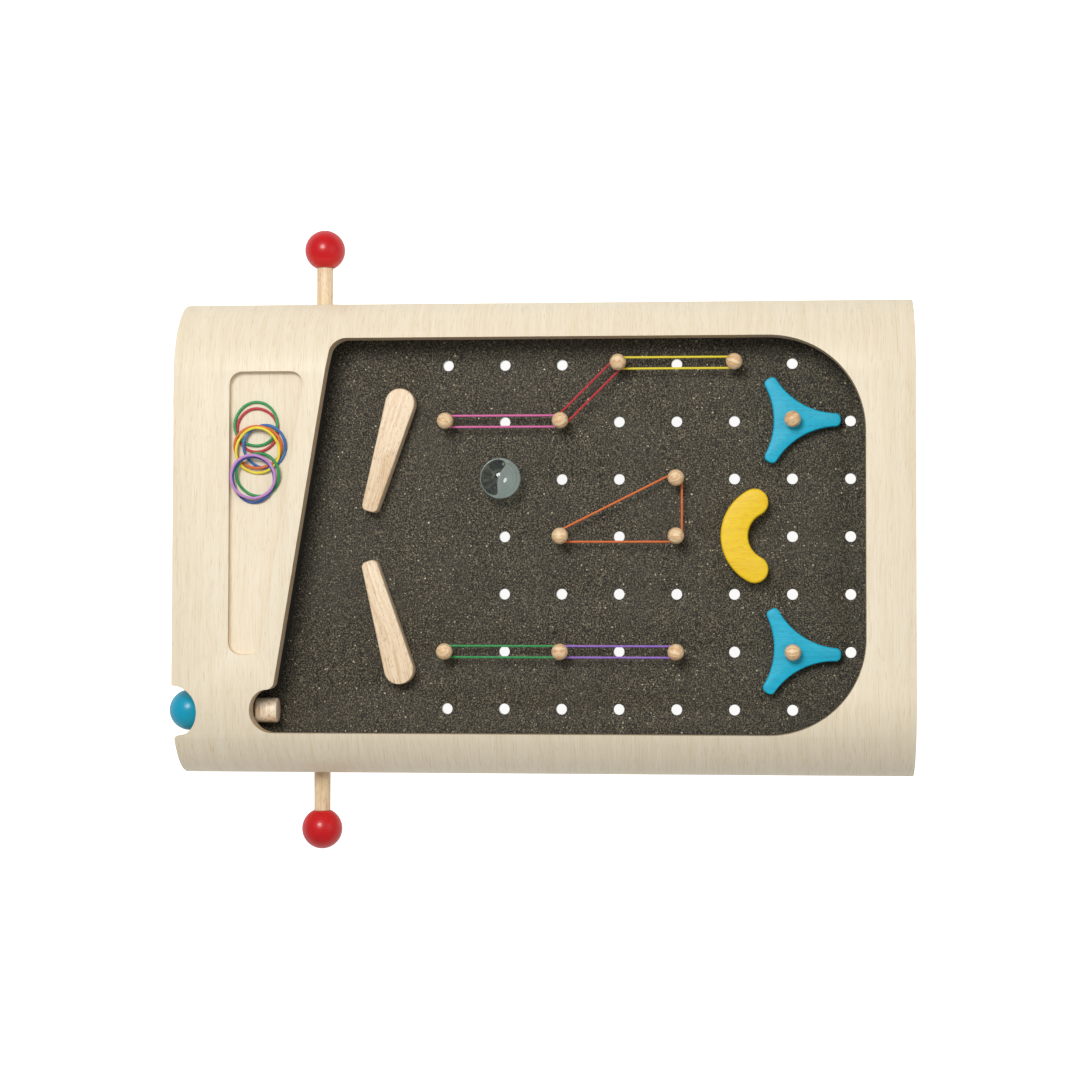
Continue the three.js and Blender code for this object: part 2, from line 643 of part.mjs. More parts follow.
function looseBand(line, heights) {
  const path = new THREE.CatmullRomCurve3(line.map(({ x, y }, k) => new THREE.Vector3(x, y, heights[k])), true);
  const torus = new THREE.TorusGeometry(1, RING.wire / 2, 5, RING.steps);
  const places = torus.attributes.position;
  for (let k = 0; k < places.count; k += 1) {
    const angle = Math.atan2(places.getY(k), places.getX(k));
    const out = Math.hypot(places.getX(k), places.getY(k)) - 1;
    const step = THREE.MathUtils.euclideanModulo(Math.round((angle / (2 * Math.PI)) * RING.steps), RING.steps);
    const middle = path.getPoint(step / RING.steps);
    places.setXYZ(
      k,
      middle.x + out * Math.cos(angle),
      middle.y + out * Math.sin(angle),
      middle.z + places.getZ(k),
    );
  }
  return torus;
}

const ringLines = RINGS.map(ringLine);
const ringHeights = pile(ringLines, COVER.top - TRAY.depth + RING.lift + RING.wire / 2);
RINGS.forEach(([name, , , , , colour], k) => {
  add(`ring_${name}`, looseBand(ringLines[k], ringHeights[k]), 'red', colour);
});

const marble = ball(MARBLE.radius).rotateX(Math.PI / 2);
add('marble', marble.translate(holeU(MARBLE.row), holeV(MARBLE.column), MARBLE.height), 'glass');

export default game;
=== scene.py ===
"""A wooden tabletop pinball game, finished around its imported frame.

The frame is in metres. Every piece is made in deck millimetres and placed by DECK: u across, v up the
slope and w square to the playfield. The playfield's upper face is at w = 0, and the middle of its holes
is at v = 0.
"""

import math
from types import SimpleNamespace

import bmesh
import bpy
from bpy.props import FloatProperty, FloatVectorProperty, PointerProperty
from mathutils import Matrix, Vector


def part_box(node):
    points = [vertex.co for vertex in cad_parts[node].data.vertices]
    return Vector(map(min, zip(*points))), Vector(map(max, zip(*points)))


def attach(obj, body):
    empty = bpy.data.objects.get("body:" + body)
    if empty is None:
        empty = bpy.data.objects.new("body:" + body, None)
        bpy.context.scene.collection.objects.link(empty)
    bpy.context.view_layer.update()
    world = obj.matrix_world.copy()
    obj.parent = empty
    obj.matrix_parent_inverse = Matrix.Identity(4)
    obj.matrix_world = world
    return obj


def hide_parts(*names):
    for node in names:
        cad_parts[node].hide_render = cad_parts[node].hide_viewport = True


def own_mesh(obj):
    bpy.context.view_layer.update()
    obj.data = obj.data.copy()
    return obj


bl_info = {
    "name": "Tabletop Pinball Game",
    "version": (1, 0, 0),
    "blender": (4, 5, 0),
    "location": "3D View > Sidebar > Pinball",
    "description": "Builds a wooden tabletop pinball game piece by piece",
    "category": "Object",
}

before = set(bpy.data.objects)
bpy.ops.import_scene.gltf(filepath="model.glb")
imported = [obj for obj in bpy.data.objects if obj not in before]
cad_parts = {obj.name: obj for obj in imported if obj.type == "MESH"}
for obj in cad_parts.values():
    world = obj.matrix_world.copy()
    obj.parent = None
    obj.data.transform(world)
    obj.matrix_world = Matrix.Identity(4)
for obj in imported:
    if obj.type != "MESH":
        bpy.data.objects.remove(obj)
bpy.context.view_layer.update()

MM = 0.001
U, V, W = Vector((1, 0, 0)), Vector((0, 1, 0)), Vector((0, 0, 1))
GAP = 0.3  # between pieces that touch, are glued or slide
SLOPE = math.radians(5)
BOARD_HALF, BOARD_NEAR, BOARD_FAR, BOARD_THICKNESS = 133.7, -256.6, 144.4, 5.5

board_low, board_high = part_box("playfield")
DECK_PLACE = Vector(
    (0, board_low.y / MM - BOARD_NEAR * math.cos(SLOPE), board_high.z / MM - BOARD_FAR * math.sin(SLOPE))
)
DECK = Matrix.Scale(MM, 4) @ Matrix.Translation(DECK_PLACE) @ Matrix.Rotation(SLOPE, 4, "X")
TO_DECK = DECK.inverted()

PITCH = 35  # of the playfield's grid of holes
HOLE_ROWS = ((0, 6), (0, 7), (1, 7), (1, 7), (1, 7), (0, 7), (0, 6))  # first and last hole of each
SHAFT_HOLE, PUSH_ROD_HOLE = 4.5, 5.4  # radii, in the playfield and in the cover
PEG_COUNT = 12
BANDS = {  # the pegs that each stretched band goes round
    "pink": (1, 2),
    "red": (2, 3),
    "yellow": (3, 4),
    "orange": (6, 7, 5),
    "green": (8, 9),
    "purple": (9, 10),
}
# the lowest first
LOOSE_BANDS = ("red", "green_1", "blue", "orange", "yellow", "green_2", "dark_blue", "pink")
RUBBER = {  # sRGB
    "pink": "DE6AA6",
    "lilac": "C489CC",
    "red": "C0222E",
    "yellow": "F0DC30",
    "orange": "DC6A24",
    "green": "23964E",
    "purple": "9468C4",
    "blue": "2A6DB4",
    "dark_blue": "244C96",
}


def deck_box(node):
    """Lowest and highest corner of a CAD node in deck millimetres."""
    corners = [TO_DECK @ v.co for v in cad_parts[node].data.vertices]
    return Vector(map(min, zip(*corners))), Vector(map(max, zip(*corners)))


def centre(node):
    low, high = deck_box(node)
    return (low + high) / 2


def ball_centre(node, outward):
    """The centre of a ball whose bore has cut into the side that faces away from a direction."""
    low, high = deck_box(node)
    middle, radius = (low + high) / 2, max(high - low) / 2
    for axis, sense in enumerate(outward):
        if sense:
            middle[axis] = high[axis] - radius if sense > 0 else low[axis] + radius
    return middle


def linear(hex_colour):
    """An sRGB hex colour as the linear red, green and blue that a shader takes."""
    channels = [int(hex_colour[k : k + 2], 16) / 255 for k in (0, 2, 4)]
    return tuple(c / 12.92 if c <= 0.04045 else ((c + 0.055) / 1.055) ** 2.4 for c in channels)


def tone(hex_colour):
    """An sRGB hex colour as the linear red, green, blue and alpha of a colour socket."""
    return (*linear(hex_colour), 1)


# ---------------------------------------------------------------- settings


def length(name, value, description):
    """A length property in metres, given here in millimetres."""
    default = value * MM
    return FloatProperty(
        name=name, description=description, default=default, min=0, unit="LENGTH", precision=4
    )


def colour(name, hex_colour, description):
    default = linear(hex_colour)
    return FloatVectorProperty(
        name=name, description=description, default=default, size=3, min=0, max=1, subtype="COLOR"
    )


class CoverSettings(bpy.types.PropertyGroup):
    half_width: length("Half Width", 145, "From the middle of the cover to its outer side")
    top: length("Top", 34, "Height of the cover's top above the playfield")
    thickness: length("Thickness", 12, "Thickness of the bent plywood")
    bend: length("Bend", 50, "Outer radius of the bend along each side")
    ply: length("Ply", 12 / 7, "Thickness of one veneer")
    rounding: length("Rounding", 1.5, "Sanded radius of the cover's edges")
    tray_depth: length("Tray Depth", 5, "Depth of the tray for loose bands")
    tray_fillet: length("Tray Fillet", 1.6, "Radius where the tray's wall meets its floor")


class PieceSettings(bpy.types.PropertyGroup):
    hole: length("Hole", 3.3, "Radius of the playfield's holes")
    hole_chamfer: length("Hole Chamfer", 0.45, "Chamfer around each hole")
    flipper_wide: length("Flipper Hub", 9, "Radius of a flipper's wide end")
    flipper_corner: length("Flipper Corner", 3.4, "Radius of the two corners of a flipper's blunt tip")
    flipper_rounding: length("Flipper Rounding", 0.8, "Sanded radius of a flipper's edges")
    star_rounding: length("Star Rounding", 0.9, "Sanded radius of a star's edges")
    bean_rounding: length("Bean Rounding", 1.3, "Sanded radius of the bean's edges")
    band: length("Stretched Band", 1.35, "Thickness of a stretched rubber band")
    loose_band: length("Loose Band", 1.7, "Thickness of a loose rubber band")


class ColourSettings(bpy.types.PropertyGroup):
    plywood: colour("Plywood", "EEE1C8", "Face veneer of the cover")
    playfield: colour("Playfield", "3B372D", "Ground colour of the playfield")
    maple: colour("Maple", "F0D9B8", "Flippers and stop collars")
    side_knobs: colour("Side Knobs", "CE0812", "Paint of the two side knobs")
    plunger_knob: colour("Plunger Knob", "009FC2", "Paint of the plunger's knob")
    stars: colour("Stars", "06B4D4", "Stain of the two stars")
    bean: colour("Bean", "F2CB0E", "Stain of the bean")


class PinballSettings(bpy.types.PropertyGroup):
    cover: PointerProperty(type=CoverSettings)
    pieces: PointerProperty(type=PieceSettings)
    colours: PointerProperty(type=ColourSettings)


def millimetres(settings):
    """The lengths of a property group as plain millimetres."""
    names = [p.identifier for p in settings.bl_rna.properties if p.type == "FLOAT"]
    return SimpleNamespace(**{name: getattr(settings, name) / MM for name in names})


def cover_sizes():
    return millimetres(bpy.context.scene.pinball.cover)


def piece_sizes():
    return millimetres(bpy.context.scene.pinball.pieces)


def chosen(name):
    """A colour setting as linear red, green, blue and alpha."""
    return (*getattr(bpy.context.scene.pinball.colours, name), 1)


# ---------------------------------------------------------------- shaping

WIDE_CORNER = 30  # a corner of this radius or more gets three times the steps


def bevelled(bm, geometry, width, segments, affect, clamp_overlap=False):
    """Rounds vertices or edges by a width."""
    bmesh.ops.bevel(
        bm,
        geom=geometry,
        offset=width,
        offset_type="OFFSET",
        segments=segments,
        profile=0.5,
        affect=affect,
        clamp_overlap=clamp_overlap,
        material=-1,
    )
    return bm


def rounded_face(corners, steps=8):
    """A flat face through corners (u, v, radius), with each corner rounded by its radius."""
    bm = bmesh.new()
    verts = [bm.verts.new((u, v, 0)) for u, v, _ in corners]
    bm.faces.new(verts)
    for k, (vert, (u, v, radius)) in enumerate(zip(verts, corners)):
        if radius == 0:
            continue
        here = Vector((u, v))
        before = Vector(corners[k - 1][:2]) - here
        after = Vector(corners[(k + 1) % len(corners)][:2]) - here
        cut_back = radius / math.tan(before.angle(after) / 2)
        bevelled(bm, [vert], cut_back, steps if radius < WIDE_CORNER else 3 * steps, "VERTICES")
    return bm


def raised(bm, bottom, top):
    """Makes flat faces at w = 0 into a plate from one height to another."""
    bmesh.ops.translate(bm, verts=bm.verts, vec=W * bottom)
    made = bmesh.ops.extrude_face_region(bm, geom=bm.faces[:])["geom"]
    upper = [g for g in made if isinstance(g, bmesh.types.BMVert)]
    bmesh.ops.translate(bm, verts=upper, vec=W * (top - bottom))
    bmesh.ops.recalc_face_normals(bm, faces=bm.faces)
    return bm


def block(size, middle):
    bm = bmesh.new()
    bmesh.ops.create_cube(bm, size=1)
    bmesh.ops.scale(bm, verts=bm.verts, vec=size)
    bmesh.ops.translate(bm, verts=bm.verts, vec=middle)
    return bm


def turned(profile, steps=48, closed=False):
    """Spins a chain of points (radius, height) about W. A closed chain makes a ring, and an open one starts
    and ends on the axis."""
    bm = bmesh.new()
    verts = [bm.verts.new((radius, 0, height)) for radius, height in profile]
    edges = [bm.edges.new(pair) for pair in zip(verts, verts[1:])]
    if closed:
        edges.append(bm.edges.new((verts[-1], verts[0])))
    bmesh.ops.spin(
        bm, geom=verts + edges, cent=(0, 0, 0), axis=W, angle=2 * math.pi, steps=steps, use_merge=True
    )
    bmesh.ops.remove_doubles(bm, verts=bm.verts, dist=1e-4)
    bmesh.ops.recalc_face_normals(bm, faces=bm.faces)
    return bm


def arc(radius, start, end, steps, across=0, along=0):
    """Points (radius, height) on an arc in a turned profile. Angles in degrees, 90 is up."""
    angles = [math.radians(start + (end - start) * k / steps) for k in range(steps + 1)]
    return [(across + radius * math.cos(a), along + radius * math.sin(a)) for a in angles]


def bar(radius, start, end, rounding=0.5, steps=32):
    """A round bar along W with eased ends."""
    return turned(
        [
            (0, start),
            *arc(rounding, -90, 0, 3, radius - rounding, start + rounding),
            *arc(rounding, 0, 90, 3, radius - rounding, end - rounding),
            (0, end),
        ],
        steps,
    )


def tube(bore, radius, start, end, rounding=0.5):
    """A ring along W with a plain bore and eased rims."""
    return turned(
        [
            (bore, start),
            *arc(rounding, -90, 0, 3, radius - rounding, start + rounding),
            *arc(rounding, 0, 90, 3, radius - rounding, end - rounding),
            (bore, end),
        ],
        steps=40,
        closed=True,
    )


def drilled_ball(radius, bore, depth):
    """A ball about the origin with a hole from below, and a small flat around the hole's mouth."""
    mouth = bore + 0.4
    start = -math.degrees(math.acos(mouth / radius))
    outside = arc(radius, start, 90, 28)
    outside[-1] = (0, radius)
    return turned([(0, depth), (bore, depth), (bore, outside[0][1]), *outside], steps=56)


def belt(bm, pulleys):
    """Moves a ring or tube of unit radius about W onto the belt line around pulleys (u, v, radius)."""
    for vert in bm.verts:
        out = Vector((vert.co.x, vert.co.y))
        reach = out.length
        out.normalize()
        u, v, radius = max(pulleys, key=lambda p: p[0] * out.x + p[1] * out.y + p[2])
        vert.co.x = u + out.x * (radius + reach - 1)
        vert.co.y = v + out.y * (radius + reach - 1)
    return bm


def belt_face(pulleys, steps=96):
    bm = bmesh.new()
    bmesh.ops.create_circle(bm, cap_ends=True, segments=steps, radius=1)
    return belt(bm, pulleys)


def hoop(radius, wire, steps, sides=8):
    """A round wire bent into a circle about W."""
    section = [(radius + x, y) for x, y in arc(wire / 2, 0, 360, sides)[:-1]]
    return turned(section, steps, closed=True)


def coiled(radius, wire, turns, distance):
    """A wire coiled about W, from height 0 to a distance, with closed ends."""
    bm = bmesh.new()
    made = bmesh.ops.create_circle(
        bm, cap_ends=True, segments=8, radius=wire / 2, matrix=Matrix.Rotation(math.pi / 2, 4, "X")
    )
    bmesh.ops.translate(bm, verts=made["verts"], vec=U * radius)
    start = bm.faces[:]
    count = 20 * turns
    bmesh.ops.spin(
        bm,
        geom=start,
        cent=(0, 0, 0),
        axis=W,
        dvec=W * (distance / count),
        angle=2 * math.pi * turns,
        steps=count,
    )
    bmesh.ops.recalc_face_normals(bm, faces=bm.faces)
    return bm


def laid(bm, direction, place):
    """Turns a piece made along W to another direction, and moves it into place."""
    turn = W.rotation_difference(Vector(direction)).to_matrix().to_4x4()
    bmesh.ops.transform(bm, matrix=Matrix.Translation(place) @ turn, verts=bm.verts)
    return bm


def eased(bm, width, segments=3, sharp=40, chosen_edges=lambda edge: True):
    """Rounds the edges that are sharper than an angle in degrees."""
    limit = math.radians(sharp)
    folds = [e for e in bm.edges if len(e.link_faces) == 2 and e.calc_face_angle() > limit]
    return bevelled(bm, [e for e in folds if chosen_edges(e)], width, segments, "EDGES", clamp_overlap=True)


def temporary(bm):
    mesh = bpy.data.meshes.new("temporary")
    bm.to_mesh(mesh)
    bm.free()
    made = bpy.data.objects.new("temporary", mesh)
    bpy.context.scene.collection.objects.link(made)
    return made


def carved(bm, *tools, operation="DIFFERENCE"):
    """Cuts solids out of a piece, or keeps what lies inside them."""
    bodies = [temporary(solid) for solid in (bm, *tools)]
    for tool in bodies[1:]:
        modifier = bodies[0].modifiers.new("carve", "BOOLEAN")
        modifier.operation = operation
        modifier.solver = "EXACT"
        modifier.object = tool
    shape = bpy.data.meshes.new_from_object(bodies[0].evaluated_get(bpy.context.evaluated_depsgraph_get()))
    for used in bodies:
        bpy.data.meshes.remove(used.data)
    result = bmesh.new()
    result.from_mesh(shape)
    bpy.data.meshes.remove(shape)
    bmesh.ops.remove_doubles(result, verts=result.verts, dist=0.005)
    bmesh.ops.dissolve_degenerate(result, edges=result.edges, dist=0.005)
    return result


def above_table(bm, height):
    """Cuts a piece in deck millimetres off at a height above the table, and closes it."""
    low = TO_DECK @ Vector((0, 0, height * MM))
    down = TO_DECK.to_3x3() @ -W
    geometry = bm.verts[:] + bm.edges[:] + bm.faces[:]
    bmesh.ops.bisect_plane(bm, geom=geometry, plane_co=low, plane_no=down.normalized(), clear_outer=True)
    bmesh.ops.holes_fill(bm, edges=[e for e in bm.edges if e.is_boundary])
    bmesh.ops.recalc_face_normals(bm, faces=bm.faces)
    return bm


# ---------------------------------------------------------------- pieces and their grain


def along(direction, offset=(0, 0, 0)):
    """A grain frame whose X runs along a direction in deck coordinates."""
    turn = Vector(direction).rotation_difference(U).to_matrix().to_4x4()
    return Matrix.Translation(offset) @ turn


def scatter(index):
    """A repeatable place in the wood for a piece, so that no two look cut from the same spot."""
    return Vector((37.0 * index % 211, 53.0 * index % 173, 71.0 * index % 139))


def placed(name, bm, finish, body, grain=None, sharp=32):
    """Turns a bmesh in deck millimetres into a finished piece that rides on a body, for its CAD node.

    Grain maps deck places to places in the wood. Edges are shaded sharp from an angle in degrees."""
    if grain is not None:
        layer = bm.verts.layers.float_vector.new("grain")
        for vert in bm.verts:
            vert[layer] = grain @ vert.co if isinstance(grain, Matrix) else grain(vert.co)
    limit = math.radians(sharp)
    for face in bm.faces:
        face.smooth = True
    for edge in bm.edges:
        edge.smooth = len(edge.link_faces) == 2 and edge.calc_face_angle(0) < limit
    bmesh.ops.transform(bm, matrix=DECK, verts=bm.verts)
    mesh = bpy.data.meshes.new(f"{name}_piece")
    bm.to_mesh(mesh)
    bm.free()
    mesh.materials.append(finish)
    piece = bpy.data.objects.new(f"{name}_piece", mesh)
    bpy.context.scene.collection.objects.link(piece)
    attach(piece, body)
    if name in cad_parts:
        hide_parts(name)
    return piece


# ---------------------------------------------------------------- finishes


def add(tree, kind, inputs=None, **settings):
    """Adds a node, sets its properties, and fills its inputs with values or links."""
    node = tree.nodes.new(kind)
    for name, value in settings.items():
        setattr(node, name, value)
    for key, value in (inputs or {}).items():
        if isinstance(value, bpy.types.NodeSocket):
            tree.links.new(value, node.inputs[key])
        else:
            node.inputs[key].default_value = value
    return node


FACTOR, FIRST, SECOND, MIXED = 0, 6, 7, 2  # sockets of a colour Mix node


def finish_tree(name, **shader):
    """A new finish, its tree and its surface shader, with the shader's plain values set."""
    finish = bpy.data.materials.new(name)
    finish.use_nodes = True
    tree = finish.node_tree
    surface = tree.nodes["Principled BSDF"]
    for key, value in shader.items():
        surface.inputs[key.replace("_", " ").title().replace("Ior", "IOR")].default_value = value
    return finish, tree, surface


def made_once(make):
    """Keeps the finish that a function makes, so that pieces share it."""
    kept = {}

    def get(*key):
        if key not in kept:
            kept[key] = make(*key)
        return kept[key]

    return get


def wood_figure(tree, place, ring=(55, 2.6), fibre=(14, 0.45), pore=(3.4, 0.8), wander=9.0):
    """Growth figure, fibres and pores of wood whose grain runs along X, each as long and wide as given in
    millimetres. Real fibres are 0.02 to 0.05 mm wide, and are drawn ten times as coarse, to show."""
    bent = add(
        tree,
        "ShaderNodeTexNoise",
        {"Vector": place, "Scale": 1 / 60, "Detail": 2.0, "Roughness": 0.5},
    )
    drift = add(
        tree,
        "ShaderNodeVectorMath",
        {0: bent.outputs["Color"], 1: (0.5, 0.5, 0.5)},
        operation="SUBTRACT",
    )
    wandering = add(
        tree,
        "ShaderNodeVectorMath",
        {0: drift.outputs[0], 1: (0, wander, wander), 2: place},
        operation="MULTIPLY_ADD",
    )
    layers = {}
    for key, (lengthwise, across), detail in (("figure", ring, 4), ("fibre", fibre, 3), ("pore", pore, 1)):
        stretched = add(
            tree,
            "ShaderNodeMapping",
            {"Vector": wandering.outputs[0], "Scale": (1 / lengthwise, 1 / across, 1 / across)},
        )
        layers[key] = add(
            tree,
            "ShaderNodeTexNoise",
            {"Vector": stretched.outputs[0], "Scale": 1.0, "Detail": float(detail), "Roughness": 0.6},
        ).outputs["Fac"]
    return layers


def shaded(tree, base, other, factor, low=0.0, high=1.0, strength=1.0):
    """Mixes a second colour in as a pattern goes from a low to a high value."""
    amount = add(
        tree,
        "ShaderNodeMapRange",
        {"Value": factor, "From Min": low, "From Max": high, "To Min": 0.0, "To Max": strength},
        clamp=True,
    )
    return add(
        tree,
        "ShaderNodeMix",
        {FACTOR: amount.outputs[0], FIRST: base, SECOND: other},
        data_type="RGBA",
    ).outputs[MIXED]


def grain_bump(tree, surface, layers, depth):
    height = add(tree, "ShaderNodeMath", {0: layers["fibre"], 1: layers["pore"]}, operation="ADD")
    bump = add(
        tree,
        "ShaderNodeBump",
        {"Height": height.outputs[0], "Strength": 0.35, "Distance": depth * MM},
    )
    tree.links.new(bump.outputs[0], surface.inputs["Normal"])


@made_once
def birch_plywood():
    """Bent birch plywood under clear matt lacquer: pale cream faces with long, faint streaks and short
    darker flecks, and cut edges striped by veneers whose grain runs by turns along and across."""
    finish, tree, surface = finish_tree("lacquered birch plywood", roughness=0.45, ior=1.5)
    size = cover_sizes()
    place = add(tree, "ShaderNodeAttribute", attribute_name="grain").outputs["Vector"]
    layers = wood_figure(tree, place, ring=(110, 5), fibre=(38, 0.75), pore=(11, 0.5), wander=6.0)
    face = shaded(tree, chosen("plywood"), tone("E4D2B0"), layers["figure"], 0.4, 0.75, strength=0.6)
    face = shaded(tree, face, tone("DEC9A3"), layers["fibre"], 0.5, 0.72, strength=0.55)
    face = shaded(tree, face, tone("C6AB80"), layers["pore"], 0.6, 0.76, strength=0.5)
    depth = add(tree, "ShaderNodeSeparateXYZ", {0: place}).outputs["Z"]
    turns = add(tree, "ShaderNodeMath", {0: depth, 1: size.ply}, operation="DIVIDE")
    step = add(tree, "ShaderNodeMath", {0: turns.outputs[0]}, operation="FLOOR")
    crossing = add(tree, "ShaderNodeMath", {0: step.outputs[0], 1: 2.0}, operation="MODULO")
    edge = shaded(tree, tone("CC9F68"), tone("B48753"), layers["pore"], 0.4, 0.65)
    ply = shaded(tree, face, edge, crossing.outputs[0])
    tree.links.new(ply, surface.inputs["Base Color"])
    gloss = add(tree, "ShaderNodeMapRange", {"Value": layers["fibre"], "To Min": 0.38, "To Max": 0.56})
    tree.links.new(gloss.outputs[0], surface.inputs["Roughness"])
    grain_bump(tree, surface, layers, 0.05)
    return finish


@made_once
def speckled_board():
    """Dark dyed fibreboard: matt charcoal with pale and rusty flecks of fibre up to 1.2 mm wide, over a
    fine, felted mottle."""
    finish, tree, surface = finish_tree(
        "speckled charcoal fibreboard", roughness=0.7, ior=1.5, specular_ior_level=0.3
    )
    place = add(tree, "ShaderNodeTexCoord").outputs["Object"]
    grit = add(
        tree,
        "ShaderNodeTexNoise",
        {"Vector": place, "Scale": 1 / (0.85 * MM), "Detail": 1.0, "Roughness": 0.6},
    ).outputs["Fac"]
    cloud = add(
        tree,
        "ShaderNodeTexNoise",
        {"Vector": place, "Scale": 1 / (45 * MM), "Detail": 3.0},
    ).outputs["Fac"]
    ground = shaded(tree, chosen("playfield"), tone("181612"), grit, 0.5, 0.36)
    ground = shaded(tree, ground, tone("766D58"), grit, 0.5, 0.66)
    ground = shaded(tree, ground, tone("4C483F"), cloud, 0.4, 0.7, strength=0.3)
    # Four kinds of fleck: spacing and radius in millimetres, tint, and the share of places that have one.
    for spacing, size, tint, share in (
        (1.4, 0.42, "A79D84", 0.55),
        (2.9, 0.52, "D2C7A8", 0.45),
        (8.5, 0.62, "E2D9BF", 0.45),
        (9.5, 0.6, "A67A48", 0.4),
    ):
        cells = add(tree, "ShaderNodeTexVoronoi", {"Vector": place, "Scale": 1 / (spacing * MM)})
        picked = add(tree, "ShaderNodeSeparateColor", {0: cells.outputs["Color"]}).outputs[0]
        reach = add(
            tree,
            "ShaderNodeMapRange",
            {"Value": picked, "From Min": 1 - share, "From Max": 1.0, "To Max": size / spacing},
        ).outputs[0]
        inside = add(tree, "ShaderNodeMath", {0: reach, 1: cells.outputs["Distance"]}, operation="SUBTRACT")
        ground = shaded(tree, ground, tone(tint), inside.outputs[0], 0.0, 0.08 / spacing)
    tree.links.new(ground, surface.inputs["Base Color"])
    bump = add(tree, "ShaderNodeBump", {"Height": grit, "Strength": 0.4, "Distance": 0.08 * MM})
    tree.links.new(bump.outputs[0], surface.inputs["Normal"])
    return finish


@made_once
def clear_wood(name, light, dark, pore_colour, roughness):
    """Clear-lacquered hardwood: satin, with drifting growth lines and short brown pores along the grain."""
    finish, tree, surface = finish_tree(name, roughness=roughness, ior=1.5)
    place = add(tree, "ShaderNodeAttribute", attribute_name="grain").outputs["Vector"]
    layers = wood_figure(tree, place, ring=(60, 1.7), fibre=(14, 0.4), pore=(3.2, 0.45))
    tint = shaded(tree, light, tone(dark), layers["figure"], 0.42, 0.72)
    tint = shaded(tree, tint, tone("FFF3DC"), layers["fibre"], 0.52, 0.75, strength=0.35)
    tint = shaded(tree, tint, tone(pore_colour), layers["pore"], 0.6, 0.72, strength=0.7)
    tree.links.new(tint, surface.inputs["Base Color"])
    grain_bump(tree, surface, layers, 0.06)
    return finish


def maple():
    """Flippers and stop collars, sawn along the grain: pale cream with broad tan growth lines."""
    return clear_wood("clear lacquered maple", chosen("maple"), "D6B184", "A47348", 0.42)


def turned_maple():
    """Small turned pieces, which cut across the growth rings and show them as tan stripes."""
    return clear_wood("turned maple", tone("F8DCB0"), "CB8A50", "AC7644", 0.4)


def pusher_maple_with_painted_light():
    """The plunger's head, the palest piece: quarter-sawn, so that it shows straight tan stripes, and
    painted near white as painted light against the shade of the pocket it sits in.
    """
    return clear_wood("quarter-sawn maple", tone("FFF0D6"), "D2A16C", "C08F5C", 0.45)


def dowel_wood():
    """Straight-grained dowel, a little greyer and drier than the turned pieces."""
    return clear_wood("waxed beech dowel", tone("EBD3AE"), "D3B184", "A67C4F", 0.5)


def rail_wood():
    """Sawn and sanded solid timber of the end panels, hardly lacquered."""
    return clear_wood("sanded rubberwood", tone("E6D1A8"), "CBAE7E", "A88455", 0.6)


@made_once
def stained_wood(setting, deep, pale):
    """Water-stained maple: the colour sits darker in the fibres and pores, under satin lacquer."""
    finish, tree, surface = finish_tree(
        f"{setting} stained maple", roughness=0.45, ior=1.5, specular_ior_level=0.35
    )
    place = add(tree, "ShaderNodeAttribute", attribute_name="grain").outputs["Vector"]
    layers = wood_figure(tree, place, ring=(50, 2.2), fibre=(16, 0.6), pore=(3.4, 0.55))
    tint = shaded(tree, chosen(setting), tone(deep), layers["figure"], 0.4, 0.75, strength=0.45)
    tint = shaded(tree, tint, tone(pale), layers["fibre"], 0.5, 0.72, strength=0.4)
    tint = shaded(tree, tint, tone(deep), layers["pore"], 0.58, 0.7, strength=0.75)
    tree.links.new(tint, surface.inputs["Base Color"])
    grain_bump(tree, surface, layers, 0.07)
    return finish


@made_once
def gloss_paint(setting, deep):
    """Dipped gloss enamel on a turned ball: deep colour, a wet highlight and a slight sag in the film."""
    finish, tree, surface = finish_tree(
        f"{setting.replace('_', ' ')} gloss enamel",
        roughness=0.34,
        ior=1.42,
        coat_weight=0.2,
        coat_roughness=0.12,
    )
    place = add(tree, "ShaderNodeTexCoord").outputs["Object"]
    cloud = add(
        tree,
        "ShaderNodeTexNoise",
        {"Vector": place, "Scale": 1 / (9 * MM), "Detail": 3.0},
    ).outputs["Fac"]
    tint = shaded(tree, chosen(setting), tone(deep), cloud, 0.35, 0.75, strength=0.35)
    tree.links.new(tint, surface.inputs["Base Color"])
    film = add(
        tree,
        "ShaderNodeTexNoise",
        {"Vector": place, "Scale": 1 / (1.6 * MM), "Detail": 2.0},
    ).outputs["Fac"]
    bump = add(tree, "ShaderNodeBump", {"Height": film, "Strength": 0.25, "Distance": 0.03 * MM})
    tree.links.new(bump.outputs[0], surface.inputs["Normal"])
    return finish


@made_once
def rubber(tint):
    """Extruded coloured rubber with a dull, slightly dusty skin."""
    finish, tree, surface = finish_tree(f"{tint.replace('_', ' ')} rubber", roughness=0.5, ior=1.5)
    place = add(tree, "ShaderNodeTexCoord").outputs["Object"]
    dust = add(
        tree,
        "ShaderNodeTexNoise",
        {"Vector": place, "Scale": 1 / (1.2 * MM), "Detail": 3.0},
    ).outputs["Fac"]
    base = tone(RUBBER[tint])
    pale = tuple(0.8 * c + 0.2 for c in base)
    mixed = shaded(tree, base, pale, dust, 0.45, 0.8, strength=0.45)
    tree.links.new(mixed, surface.inputs["Base Color"])
    bump = add(tree, "ShaderNodeBump", {"Height": dust, "Strength": 0.3, "Distance": 0.04 * MM})
    tree.links.new(bump.outputs[0], surface.inputs["Normal"])
    return finish


